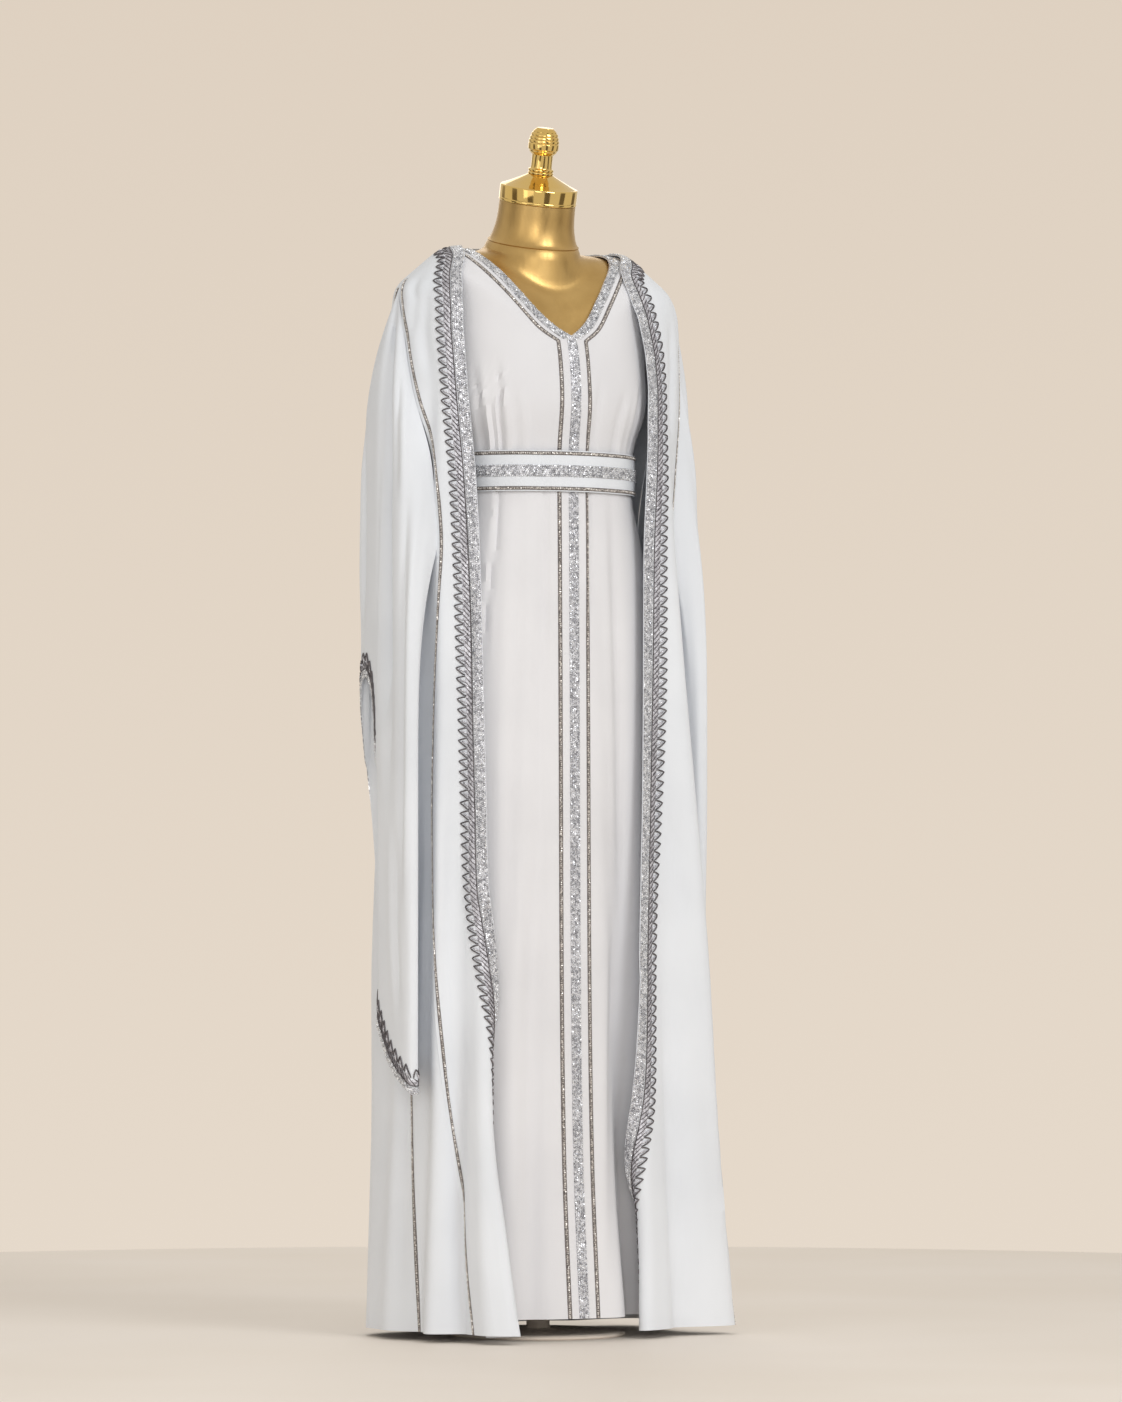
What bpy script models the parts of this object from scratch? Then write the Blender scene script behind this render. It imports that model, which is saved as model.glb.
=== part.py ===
"""White kaftan of an open robe over a belted dress, on a gold dress form.

Metres, +Z up. The front faces -Y and the wearer's left is +X. The origin is the
centre of the stand's underside. Every cloth layer is worked out from rings, and
an angle goes round a ring: 0 is the centre front, +90 the wearer's left side.
"""

import math
from typing import NamedTuple

import bpy
import numpy as np

CLOTH = 0.0012
TRIM = 0.0010
SEAM_GAP = 0.0003
TRIM_LIFT = 0.0008
LAP_LIFT = 0.0036
LEAST_BEND = 0.25
CORNER = 0.95

EDGE_BAND = 0.0165
BRAID_VALLEY = 0.0280
BRAID_TIP = 0.0395
BRAID_PITCH = 0.0148
SHOULDER_LEVEL_LENGTH = 0.0527
SHOULDER_ROWS = {-1: (), 1: (0.25, 0.75, 1.25)}
SEAM_START_SLANT = 0.8
SEAM_LINE_INNER = 0.0095
SEAM_LINE_OUTER = 0.0025
TURN_LEAST_REACH = 0.030
TURN_MORE_REACH = 0.0044
TURN_ARC = 0.028
FRONT_SPANS = 5
BACK_SPANS = 12

NECK_BAND = 0.013
CENTRE_BAND_HALF = 0.0072
CENTRE_COLUMN = CENTRE_BAND_HALF + 0.0004
DRESS_LINE_INNER = 0.0175
DRESS_LINE_OUTER = 0.0245
NECK_BAND_LEVEL = 0.296

BELT_WIDTH = 0.056
BELT_BAND_WIDTH = 0.016
BELT_LINE_WIDTH = 0.0055
BELT_LINE_INSET = 0.004
BELT_LIFT = 0.0060
BELT_Z = 1.185
BELT_SIDES = 28

EDGE_BAND_SHARES = (0.06, 0.92)
EDGE_BRAID_SHARE = 0.07
CUFF_TRIM_GAP_SHARE = 0.18
CENTRE_BAND_SHARE = 0.95
CENTRE_BAND_TOP_SHARE = 0.06
NECK_BAND_POINT_SHARE = 0.04
DRESS_NECK_TURN = {-1: (90.0, 41.0, 0.0), 1: (90.0, 34.0, 0.0)}
DRESS_NECK_BEND = 1.5
BACK_TOP_DROP = {-1: 0.0, 1: 0.36}

# Level of the dress, and how far the torso lies inside it there.
FORM_INSETS = (
    (3.0, 0.0110), (2.4, 0.0080), (2.0, 0.0050), (1.5, 0.0045),
    (1.0, 0.0036), (0.5, 0.0042), (0.0, 0.0024),
)
FRONT_INSET = 0.0035
FORM_BOTTOM = 0.840
# Height, half width, front depth and back depth of the torso's lower rings.
TORSO_RINGS = (
    (FORM_BOTTOM, 0.143, 0.090, 0.108),
    (0.960, 0.146, 0.096, 0.108),
    (1.050, 0.138, 0.096, 0.104),
    (1.130, 0.121, 0.092, 0.092),
    (1.185, 0.116, 0.090, 0.086),
    (1.240, 0.126, 0.096, 0.094),
    (1.290, 0.142, 0.104, 0.104),
)
TORSO_SIDES = 20
NECK_FOOT = (-0.0015, 0.0143, 1.500)
NECK_LEAN = (0.0, -0.241, 1.0)
# Radius and height along the neck, from its foot.
NECK_RINGS = (
    (0.0640, -0.004), (0.0615, 0.003), (0.0572, 0.016), (0.0535, 0.036), (0.0525, 0.0655),
)
CAP_PROFILE = (
    (0.0525, 0.0), (0.0540, 0.0012), (0.0540, 0.0215), (0.0525, 0.0227),
    (0.0510, 0.0234), (0.0300, 0.0336), (0.0172, 0.0398),
)
CAP_SIDES = 20
FINIAL_PROFILE = (
    (0.0172, 0.0), (0.0172, 0.0068), (0.0148, 0.0084), (0.0146, 0.0275),
    (0.0168, 0.0295), (0.0200, 0.0335), (0.0211, 0.0385), (0.0211, 0.0430),
    (0.0200, 0.0505), (0.0178, 0.0565), (0.0142, 0.0620), (0.0115, 0.0643),
)
FINIAL_SIDES = 14
POLE_RADIUS = 0.016
POLE_SIDES = 16
BASE_RADIUS = 0.120
BASE_HEIGHT = 0.010
BASE_PROFILE = (
    (BASE_RADIUS, 0.0), (BASE_RADIUS, 0.004), (BASE_RADIUS - 0.004, 0.006),
    (0.040, 0.008), (0.028, BASE_HEIGHT),
)
BASE_SIDES = 24

FOLD_TOP_Z = 1.40
FOLD_WAIST_Z = 1.10
FOLD_KNEE_Z = 0.50
EDGE_PULL_SPREAD = 16.0


class Ring(NamedTuple):
    """One level of a layer: its heights, its half width and its depths."""

    name: str
    side_z: float
    front_z: float
    back_z: float
    half_width: float
    front: float
    back: float
    centre_y: float


class Edge(NamedTuple):
    """Where a robe front starts and its seams run at one level, on one side.

    Angles are in degrees from the centre front. edge and reach place the front
    edge as it is seen, and turned is how far the cloth there is turned under.
    """

    name: str
    edge: float
    reach: float
    turned: float
    front_seam: float
    back_seam: float


class Fold(NamedTuple):
    """A lengthwise ridge, or a valley where its depth is negative."""

    name: str
    waist_angle: float
    hem_angle: float
    spread: float
    waist_depth: float
    knee_depth: float
    hem_depth: float


DRESS_RINGS = (
    Ring("neck", 1.4960, 1.448, 1.504, 0.0965, 0.076, 0.054, 0.0200),
    Ring("shoulder", 1.4898, 1.410, 1.482, 0.1400, 0.094, 0.084, 0.0169),
    Ring("shoulder tip", 1.4695, 1.372, 1.445, 0.1655, 0.115, 0.105, 0.0150),
    Ring("armhole", 1.360, 1.335, 1.360, 0.160, 0.118, 0.115, 0.008),
    Ring("bust", 1.275, 1.275, 1.275, 0.154, 0.115, 0.112, 0.0),
    Ring("midriff", 1.225, 1.225, 1.225, 0.136, 0.108, 0.100, 0.0),
    Ring("waist", 1.185, 1.185, 1.185, 0.132, 0.105, 0.097, 0.0),
    Ring("skirt top", 1.145, 1.145, 1.145, 0.136, 0.107, 0.100, 0.0),
    Ring("hip", 1.050, 1.050, 1.050, 0.157, 0.108, 0.118, 0.0),
    Ring("thigh", 0.850, 0.850, 0.850, 0.168, 0.110, 0.128, 0.0),
    Ring("knee", 0.500, 0.500, 0.500, 0.172, 0.113, 0.135, 0.0),
    Ring("calf", 0.250, 0.250, 0.250, 0.176, 0.120, 0.140, 0.0),
    Ring("hem", 0.030, 0.030, 0.030, 0.180, 0.139, 0.148, 0.0),
)

DRESS_FOLDS = (
    Fold("right skirt crease", -24.0, -30.0, 5.0, -0.004, -0.003, -0.004),
    Fold("right skirt ridge", -40.0, -46.0, 9.0, 0.002, 0.005, 0.010),
    Fold("left front valley", 34.0, 46.0, 13.0, -0.002, -0.012, -0.034),
    Fold("left front ridge", 22.0, 22.0, 9.0, 0.000, 0.002, 0.006),
    Fold("left side ridge", 78.0, 82.0, 10.0, 0.000, 0.003, 0.006),
    Fold("right side valley", -72.0, -76.0, 8.0, 0.000, -0.005, -0.010),
    Fold("left back ridge", 118.0, 122.0, 12.0, 0.002, 0.006, 0.012),
    Fold("back valley", 160.0, 165.0, 10.0, -0.002, -0.008, -0.012),
    Fold("right back ridge", -140.0, -136.0, 12.0, 0.002, 0.008, 0.014),
)

ROBE_RINGS = (
    Ring("neck", 1.5000, 1.464, 1.509, 0.107, 0.080, 0.058, 0.0192),
    Ring("shoulder", 1.4955, 1.427, 1.489, 0.140, 0.097, 0.088, 0.0169),
    Ring("shoulder tip", 1.4430, 1.374, 1.434, 0.205, 0.113, 0.120, 0.0120),
    Ring("chest", 1.395, 1.345, 1.385, 0.213, 0.110, 0.132, 0.005),
    Ring("armhole", 1.300, 1.300, 1.300, 0.214, 0.100, 0.140, 0.0),
    Ring("waist", 1.185, 1.185, 1.185, 0.207, 0.105, 0.150, 0.0),
    Ring("underarm", 1.075, 1.075, 1.075, 0.198, 0.112, 0.160, 0.0),
    Ring("hip", 0.900, 0.900, 0.900, 0.197, 0.122, 0.172, 0.0),
    Ring("thigh", 0.735, 0.735, 0.735, 0.197, 0.131, 0.182, 0.0),
    Ring("knee", 0.520, 0.520, 0.520, 0.198, 0.140, 0.188, 0.0),
    Ring("calf", 0.330, 0.330, 0.330, 0.200, 0.150, 0.192, 0.0),
    Ring("ankle", 0.160, 0.160, 0.160, 0.208, 0.160, 0.196, 0.0),
    Ring("hem", 0.012, 0.012, 0.004, 0.216, 0.170, 0.200, 0.0),
)

RIGHT_EDGES = (
    Edge("neck", -90.0, 0.107, 0.0, -90.0, -90.0),
    Edge("shoulder", -70.0, 0.140, 0.0, -90.0, -90.0),
    Edge("shoulder tip", -63.0, 0.163, 0.0, -90.0, -90.0),
    Edge("chest", -64.0, 0.166, 0.0, -87.0, -94.0),
    Edge("armhole", -63.5, 0.161, 0.0, -83.0, -99.0),
    Edge("waist", -60.0, 0.156, 0.0, -75.0, -107.0),
    Edge("underarm", -57.2, 0.157, 0.0, -72.0, -110.0),
    Edge("hip", -54.4, 0.161, 0.0, -75.0, -108.0),
    Edge("thigh", -51.9, 0.166, 0.0, -77.0, -101.0),
    Edge("knee", -50.0, 0.177, 78.0, -72.0, -93.0),
    Edge("calf", -47.2, 0.191, 142.0, -66.0, -87.0),
    Edge("ankle", -40.5, 0.204, 160.0, -59.0, -82.0),
    Edge("hem", -34.0, 0.216, 165.0, -53.0, -78.0),
)

LEFT_EDGES = (
    Edge("neck", 110.0, 0.107, 0.0, 90.0, 90.0),
    Edge("shoulder", 54.0, 0.120, 0.0, 90.0, 90.0),
    Edge("shoulder tip", 47.5, 0.147, 0.0, 90.0, 90.0),
    Edge("chest", 51.5, 0.149, 0.0, 88.0, 94.0),
    Edge("armhole", 56.5, 0.1535, 0.0, 86.0, 99.0),
    Edge("waist", 53.6, 0.1520, 0.0, 80.0, 107.0),
    Edge("underarm", 50.4, 0.1492, 0.0, 78.0, 110.0),
    Edge("hip", 48.0, 0.1500, 0.0, 78.0, 110.0),
    Edge("thigh", 44.5, 0.1513, 0.0, 78.0, 110.0),
    Edge("knee", 36.5, 0.1550, 0.0, 76.0, 108.0),
    Edge("calf", 32.4, 0.1640, 55.0, 74.0, 106.0),
    Edge("ankle", 32.4, 0.1720, 156.0, 72.0, 104.0),
    Edge("hem", 29.2, 0.1780, 168.0, 70.0, 102.0),
)

ROBE_FOLDS = (
    Fold("right front ridge", -70.0, -68.5, 5.0, 0.014, 0.016, 0.018),
    Fold("right front valley", -64.5, -57.5, 3.5, -0.005, -0.007, -0.008),
    Fold("right lower ridge", -55.0, -44.0, 7.0, 0.000, 0.006, 0.012),
    Fold("right side valley", -82.0, -80.0, 6.0, -0.002, -0.004, -0.014),
    Fold("right side ridge", -98.0, -95.0, 8.0, 0.000, 0.000, 0.008),
    Fold("right back corner", -117.0, -118.0, 14.0, 0.018, 0.034, 0.024),
    Fold("right back valley", -139.0, -140.0, 7.0, -0.006, -0.012, -0.014),
    Fold("right back ridge", -156.0, -157.0, 8.0, 0.004, 0.012, 0.016),
    Fold("centre back valley", 180.0, 178.0, 8.0, -0.004, -0.010, -0.012),
    Fold("left back ridge", 158.0, 155.0, 8.0, 0.004, 0.012, 0.018),
    Fold("left back valley", 140.0, 138.0, 7.0, -0.006, -0.012, -0.014),
    Fold("left back corner", 118.0, 117.0, 13.0, 0.014, 0.026, 0.030),
    Fold("left side valley", 88.0, 92.0, 7.0, 0.000, -0.002, -0.006),
    Fold("left front flare", 63.0, 68.0, 8.0, 0.020, 0.053, 0.066),
    Fold("left front valley", 56.0, 54.0, 5.0, 0.000, -0.004, -0.008),
)


class SleeveStation(NamedTuple):
    """One line down the sleeve, from the armhole to the cuff.

    armhole runs from 0 at the shoulder tip down the front seam to 1, along the
    underarm to 2 and up the back seam to 3. The turns go round the hanging
    sleeve's flat loop: 0 is the middle of its outer face, 0.25 its front edge.
    """

    armhole: float
    hang_turn: float
    cuff_turn: float
    cuff_z: float


SLEEVE_STATIONS = (
    SleeveStation(0.00, 0.000, -0.035, 0.800),
    SleeveStation(0.22, 0.060, -0.032, 0.690),
    SleeveStation(0.42, 0.120, -0.030, 0.580),
    SleeveStation(0.60, 0.180, -0.026, 0.480),
    SleeveStation(0.76, 0.235, 0.010, 0.405),
    SleeveStation(0.90, 0.300, 0.100, 0.360),
    SleeveStation(1.05, 0.370, 0.250, 0.335),
    SleeveStation(1.35, 0.440, 0.400, 0.340),
    SleeveStation(1.65, 0.510, 0.500, 0.370),
    SleeveStation(1.95, 0.580, 0.570, 0.450),
    SleeveStation(2.15, 0.650, 0.630, 0.560),
    SleeveStation(2.32, 0.710, 0.690, 0.690),
    SleeveStation(2.48, 0.770, 0.760, 0.800),
    SleeveStation(2.64, 0.830, 0.815, 0.900),
    SleeveStation(2.80, 0.890, 0.880, 0.905),
    SleeveStation(2.91, 0.945, 0.940, 0.880),
)

SLEEVE_OUT = {-1: 0.2265, 1: 0.2305}
SLEEVE_HALF_THICKNESS = 0.0145
SLEEVE_HALF_LENGTH = 0.075
SLEEVE_CENTRE_Y = {-1: 0.0, 1: 0.034}
SLEEVE_HEAD = 0.42
SLEEVE_ROWS = 11
CUFF_PITCH = 0.0170
CUFF_BAND = 0.010
CUFF_VALLEY = 0.021
CUFF_TIP = 0.034


def smooth_table(levels, columns, at):
    """Interpolate table columns: straight over the shoulders, monotone below."""
    steps = np.diff(levels)[:, None]
    slopes = np.diff(columns, axis=0) / steps
    tangents = np.zeros_like(columns)
    tangents[0], tangents[-1] = slopes[0], slopes[-1]
    same = slopes[:-1] * slopes[1:] > 0
    total = np.where(same, slopes[:-1] + slopes[1:], 1.0)
    tangents[1:-1] = np.where(same, 2 * slopes[:-1] * slopes[1:] / total, 0.0)
    at = np.clip(np.asarray(at, float), levels[0], levels[-1])
    row = np.clip(np.searchsorted(levels, at, side="right") - 1, 0, len(levels) - 2)
    part = ((at - levels[row]) / (levels[row + 1] - levels[row]))[..., None]
    low, high = columns[row], columns[row + 1]
    width = (levels[row + 1] - levels[row])[..., None]
    curved = (
        low * (1 + 2 * part) * (1 - part) ** 2
        + tangents[row] * width * part * (1 - part) ** 2
        + high * part**2 * (3 - 2 * part)
        - tangents[row + 1] * width * part**2 * (1 - part)
    )
    straight = low + (high - low) * part
    return np.where((at < 2.0)[..., None], straight, curved)


def angle_between(first, second):
    """The signed difference of two angles in degrees, from -180 to 180."""
    return (first - second + 180.0) % 360.0 - 180.0


class Layer:
    """A cloth layer, as a surface over the angle round it and the level down it."""

    def __init__(self, rings, folds, edges=()):
        self.levels = np.arange(len(rings), dtype=float)
        self.columns = np.array([ring[1:] for ring in rings])
        self.folds = folds
        self.edges = [np.array([edge[1:] for edge in side]) for side in edges]

    def edge(self, side, level):
        """(edge angle, reach, turned, front seam, back seam) of one robe side."""
        values = smooth_table(self.levels, self.edges[side], level)
        return np.moveaxis(values, -1, 0)

    def fold_depth(self, angle, z):
        """How far the folds move the cloth out at these places."""
        waist_share = np.clip((FOLD_TOP_Z - z) / (FOLD_TOP_Z - FOLD_WAIST_Z), 0, 1)
        run = np.clip((FOLD_WAIST_Z - z) / FOLD_WAIST_Z, 0, 1)
        heights = (0.0, FOLD_KNEE_Z, FOLD_WAIST_Z)
        depth = np.zeros(np.broadcast(angle, z).shape)
        for fold in self.folds:
            centre = fold.waist_angle + (fold.hem_angle - fold.waist_angle) * run
            sizes = (fold.hem_depth, fold.knee_depth, fold.waist_depth)
            size = np.interp(z, heights, sizes) * waist_share
            depth = depth + size * np.exp(
                -((angle_between(angle, centre) / fold.spread) ** 2)
            )
        return depth

    def point(self, angle, level):
        """The surface's points, without any rolled edge."""
        angle, level = np.broadcast_arrays(np.asarray(angle, float), level)
        values = np.moveaxis(smooth_table(self.levels, self.columns, level), -1, 0)
        side_z, front_z, back_z, half_width, front, back, centre_y = values
        across, ahead = np.sin(np.radians(angle)), np.cos(np.radians(angle))
        depth = np.where(ahead > 0, front, back)
        low_z = np.where(ahead > 0, front_z, back_z)
        z = side_z * across**2 + low_z * ahead**2
        radius = 1 / np.sqrt((across / half_width) ** 2 + (ahead / depth) ** 2)
        for side in range(len(self.edges)):
            start, reach, _, _, _ = self.edge(side, level)
            turn = np.radians(start)
            oval = 1 / np.sqrt(
                (np.sin(turn) / half_width) ** 2 + (np.cos(turn) / front) ** 2
            )
            near = np.exp(-((angle_between(angle, start) / EDGE_PULL_SPREAD) ** 2))
            shoulder = np.clip(level - 1.5, 0, 1)
            folded = self.fold_depth(start, z)
            radius = radius + (reach - oval - folded) * near * shoulder
        radius = radius + self.fold_depth(angle, z)
        return np.stack([radius * across, centre_y - radius * ahead, z], axis=-1)

    def gradients(self, angle, level):
        """The change of the point for each degree, and for each level."""
        step = 0.02
        high = np.minimum(level + step, self.levels[-1])
        low = np.maximum(level - step, 0.0)
        by_angle = (
            self.point(angle + step, level) - self.point(angle - step, level)
        ) / (2 * step)
        by_level = (self.point(angle, high) - self.point(angle, low)) / (high - low)[
            ..., None
        ]
        return by_angle, by_level

    def normal(self, angle, level):
        """Unit normals pointing out of the layer."""
        by_angle, by_level = self.gradients(angle, level)
        return unit(np.cross(by_level, by_angle))


def unit(vectors):
    """The vectors at length one."""
    return vectors / np.linalg.norm(vectors, axis=-1, keepdims=True)


def shifted(layer, path, distance, toward, seam_start=False, level_end=False):
    """Move a path over its layer sideways by a distance in metres.

    toward is +1 for the wearer's left and -1 for the right. seam_start keeps the
    first point on its shoulder seam, and level_end keeps the last on its level.
    """
    path = np.array(path, float)
    parts = max(1, math.ceil(abs(distance) / 0.006))
    for _ in range(parts):
        points = layer.point(path[:, 0], path[:, 1])
        normals = layer.normal(path[:, 0], path[:, 1])
        ahead = unit(np.diff(points, axis=0))
        after = np.concatenate([ahead, ahead[-1:]])
        before = np.concatenate([ahead[:1], ahead])
        tangents = unit(after + before)
        stretch = 1 / np.maximum((tangents * after).sum(-1), 0.5)
        aside = unit(np.cross(tangents, normals)) * -toward
        by_angle, by_level = layer.gradients(path[:, 0], path[:, 1])
        aa = (by_angle * by_angle).sum(-1)
        ll = (by_level * by_level).sum(-1)
        al = (by_angle * by_level).sum(-1)
        want = aside * (distance / parts * stretch)[:, None]
        wa, wl = (want * by_angle).sum(-1), (want * by_level).sum(-1)
        whole = aa * ll - al * al
        turn = (wa * ll - wl * al) / whole
        drop = (wl * aa - wa * al) / whole
        if seam_start:
            turn[0] = 0.0
            along_seam = np.linalg.norm(by_level[0])
            reached = max(abs(by_level[0] @ aside[0]), SEAM_START_SLANT * along_seam)
            drop[0] = distance / parts / reached
        if level_end:
            drop[-1] = 0.0
            turn[-1] = toward * distance / parts / abs((by_angle[-1] * aside[-1]).sum())
        path = path + np.stack([turn, drop], axis=-1)
        path[:, 1] = np.clip(path[:, 1], 0.0, layer.levels[-1])
    return path


def filled_between(first, last, spans):
    """Evenly spaced paths after the first one, up to the last."""
    return [first + (last - first) * k / spans for k in range(1, spans + 1)]


def inner_split(points, normals):
    """Whether each quad's first diagonal is the one that lies further in."""
    a, b = points[:-1, :-1], points[:-1, 1:]
    c, d = points[1:, 1:], points[1:, :-1]
    facing = normals[:-1, :-1] + normals[:-1, 1:] + normals[1:, 1:] + normals[1:, :-1]
    return ((a + c - b - d) * facing).sum(-1) <= 0


def slab(name, points, normals, thickness, material, ring=False, split=None):
    """Make one cloth piece from a grid of points, closed round all its edges.

    Each quad is split along the diagonal that lies further in, or as split says,
    so that what is laid on the piece clears it. ring joins the last row to the
    first.
    """
    rows, columns = points.shape[:2]
    outer = (points + normals * thickness / 2).reshape(-1, 3)
    inner = (points - normals * thickness / 2).reshape(-1, 3)
    count = rows * columns

    def index(row, column):
        return (row % rows) * columns + column

    if split is None and ring:
        split = inner_split(*(np.concatenate([g, g[:1]]) for g in (points, normals)))
    elif split is None:
        split = inner_split(points, normals)
    faces = []
    last_row = rows if ring else rows - 1
    for row in range(last_row):
        for column in range(columns - 1):
            a, b = index(row, column), index(row, column + 1)
            c, d = index(row + 1, column + 1), index(row + 1, column)
            first = split[row, column]
            halves = [(a, b, c), (a, c, d)] if first else [(b, c, d), (b, d, a)]
            faces += halves
            faces += [(count + i, count + k, count + j) for i, j, k in halves]
    rims = [[index(row, 0) for row in range(last_row + 1)]]
    backward = [[index(row, columns - 1) for row in range(last_row + 1)]]
    if not ring:
        backward.append([index(0, column) for column in range(columns)])
        rims.append([index(rows - 1, column) for column in range(columns)])
    for rim in rims:
        for a, b in zip(rim[:-1], rim[1:]):
            faces += [(a, b, count + b), (a, count + b, count + a)]
    for rim in backward:
        for a, b in zip(rim[:-1], rim[1:]):
            faces += [(b, a, count + b), (a, count + a, count + b)]
    return solid(name, np.concatenate([outer, inner]), faces, material)


def solid(name, points, faces, material):
    """Add one closed object with its faces pointing out."""
    mesh = bpy.data.meshes.new(name)
    mesh.from_pydata([tuple(map(float, point)) for point in points], [], faces)
    corners = np.asarray(points)[np.array(faces)]
    volume = np.einsum(
        "ij,ij->", corners[:, 0], np.cross(corners[:, 1], corners[:, 2])
    )
    if volume < 0:
        mesh.flip_normals()
    mesh.materials.append(material)
    mesh.shade_smooth()
    mesh.set_sharp_from_angle(angle=math.radians(50))
    piece = bpy.data.objects.new(name, mesh)
    bpy.context.scene.collection.objects.link(piece)
    return piece


def paint(name, colour, roughness, metallic):
    """A plain material."""
    material = bpy.data.materials.new(name)
    material.use_nodes = True
    shader = material.node_tree.nodes["Principled BSDF"]
    shader.inputs["Base Color"].default_value = (*colour, 1.0)
    shader.inputs["Roughness"].default_value = roughness
    shader.inputs["Metallic"].default_value = metallic
    return material


def across(points, normals, column, share):
    """Points and normals part of the way from one grid column to the next."""
    near, far = column % points.shape[1], (column + 1) % points.shape[1]
    there = points[:, near] * (1 - share) + points[:, far] * share
    facing = normals[:, near] * (1 - share) + normals[:, far] * share
    return there, unit(facing)


def raised_off(points, normals, ring=False):
    """A panel's points moved out far enough to lay a trim on, bends included."""
    sharpest = np.ones(points.shape[:2])
    between = (normals[1:] * normals[:-1]).sum(-1)
    sharpest[1:] = np.minimum(sharpest[1:], between)
    sharpest[:-1] = np.minimum(sharpest[:-1], between)
    if ring:
        closing = (normals[0] * normals[-1]).sum(-1)
        sharpest[0] = np.minimum(sharpest[0], closing)
        sharpest[-1] = np.minimum(sharpest[-1], closing)
    between = (normals[:, 1:] * normals[:, :-1]).sum(-1)
    sharpest[:, 1:] = np.minimum(sharpest[:, 1:], between)
    sharpest[:, :-1] = np.minimum(sharpest[:, :-1], between)
    half_turn = np.sqrt(np.clip((1 + sharpest) / 2, LEAST_BEND, 1))
    return points + normals * ((CLOTH / 2 + TRIM_LIFT + TRIM / 2) / half_turn)[..., None]


def strip(points, normals, places):
    """A grid of the given (column, share) places, raised off its panel."""
    raised = raised_off(points, normals)
    pairs = [across(raised, normals, column, share) for column, share in places]
    there = np.stack([pair[0] for pair in pairs], axis=1)
    facing = np.stack([pair[1] for pair in pairs], axis=1)
    return there, facing


def along(rows, distances, at):
    """Read rows of values at places along their running length."""
    flat = rows.reshape(len(rows), -1)
    read = [np.interp(at, distances, column) for column in flat.T]
    return np.stack(read, axis=-1).reshape((len(at),) + rows.shape[1:])


def braid(name, base, valley, tip, facing, pitch, material):
    """A flat strip with pointed teeth along one side.

    base, valley and tip are the raised lines, as rows of points, that the strip's
    inner side, the notches and the points of the teeth lie on.
    """
    steps = np.linalg.norm(np.diff(valley, axis=0), axis=1)
    distances = np.concatenate([[0.0], np.cumsum(steps)])
    teeth = max(2, round(distances[-1] / pitch))
    notches = np.linspace(0, distances[-1], teeth + 1)
    turning = (facing[1][2:] * facing[1][:-2]).sum(-1)
    for corner in distances[1:-1][turning < CORNER]:
        notches[np.argmin(np.abs(notches - corner))] = corner
    points_at = (notches[:-1] + notches[1:]) / 2
    lines = [
        (along(base, distances, notches), along(facing[0], distances, notches)),
        (along(valley, distances, notches), along(facing[1], distances, notches)),
        (along(tip, distances, points_at), along(facing[2], distances, points_at)),
    ]
    centre = np.concatenate([there for there, _ in lines])
    out = np.concatenate([unit(out) for _, out in lines])
    count = len(centre)
    low, notch, point = 0, teeth + 1, 2 * (teeth + 1)
    top = []
    for k in range(teeth):
        top.append((low + k, low + k + 1, notch + k + 1))
        top.append((low + k, notch + k + 1, notch + k))
        top.append((notch + k, notch + k + 1, point + k))
    rim = [low + k for k in range(teeth + 1)]
    for k in range(teeth, 0, -1):
        rim += [notch + k, point + k - 1]
    rim += [notch, low]
    faces = list(top)
    faces += [(count + c, count + b, count + a) for a, b, c in top]
    for a, b in zip(rim[:-1], rim[1:]):
        faces += [(b, a, count + a), (b, count + a, count + b)]
    points = np.concatenate([centre + out * TRIM / 2, centre - out * TRIM / 2])
    return solid(name, points, faces, material)


def rows_of(layer, path_grid):
    """Points and normals of a grid of (angle, level) pairs."""
    angle, level = path_grid[..., 0], path_grid[..., 1]
    return layer.point(angle, level), layer.normal(angle, level)


def opened_at_seam(layer, grid, way):
    """Draw a grid's shoulder row back from its seam by half the seam's gap."""
    by_angle, _ = layer.gradients(grid[0, :, 0], grid[0, :, 1])
    grid[0, :, 0] += way * SEAM_GAP / 2 / np.linalg.norm(by_angle, axis=-1)
    return grid


def dress_levels():
    """The levels of the dress panels' rows, from the neck to the hem."""
    top = [0.0, 0.4, 0.8, 1.2, 1.6, 2.0]
    body = [2.5, 3.0, 3.5, 4.0, 4.5, 5.0, 5.5, 6.0, 6.5, 7.0, 7.5, 8.0]
    skirt = [9.0, 9.6, 10.3, 11.0, 11.5, 12.0]
    return np.array(top + body + skirt)


def dress_side_angle(level):
    """The armhole and side seam's angle, as a positive number of degrees."""
    return np.interp(level, (2.0, 2.6, 3.2, 4.0), (90.0, 77.0, 76.0, 90.0))


def outer_level(level, top=2.0, joined=6.0):
    """The level that a front panel's row reaches at its outer edge."""
    return level + top * np.clip(1 - level / joined, 0, 1) ** 2


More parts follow.
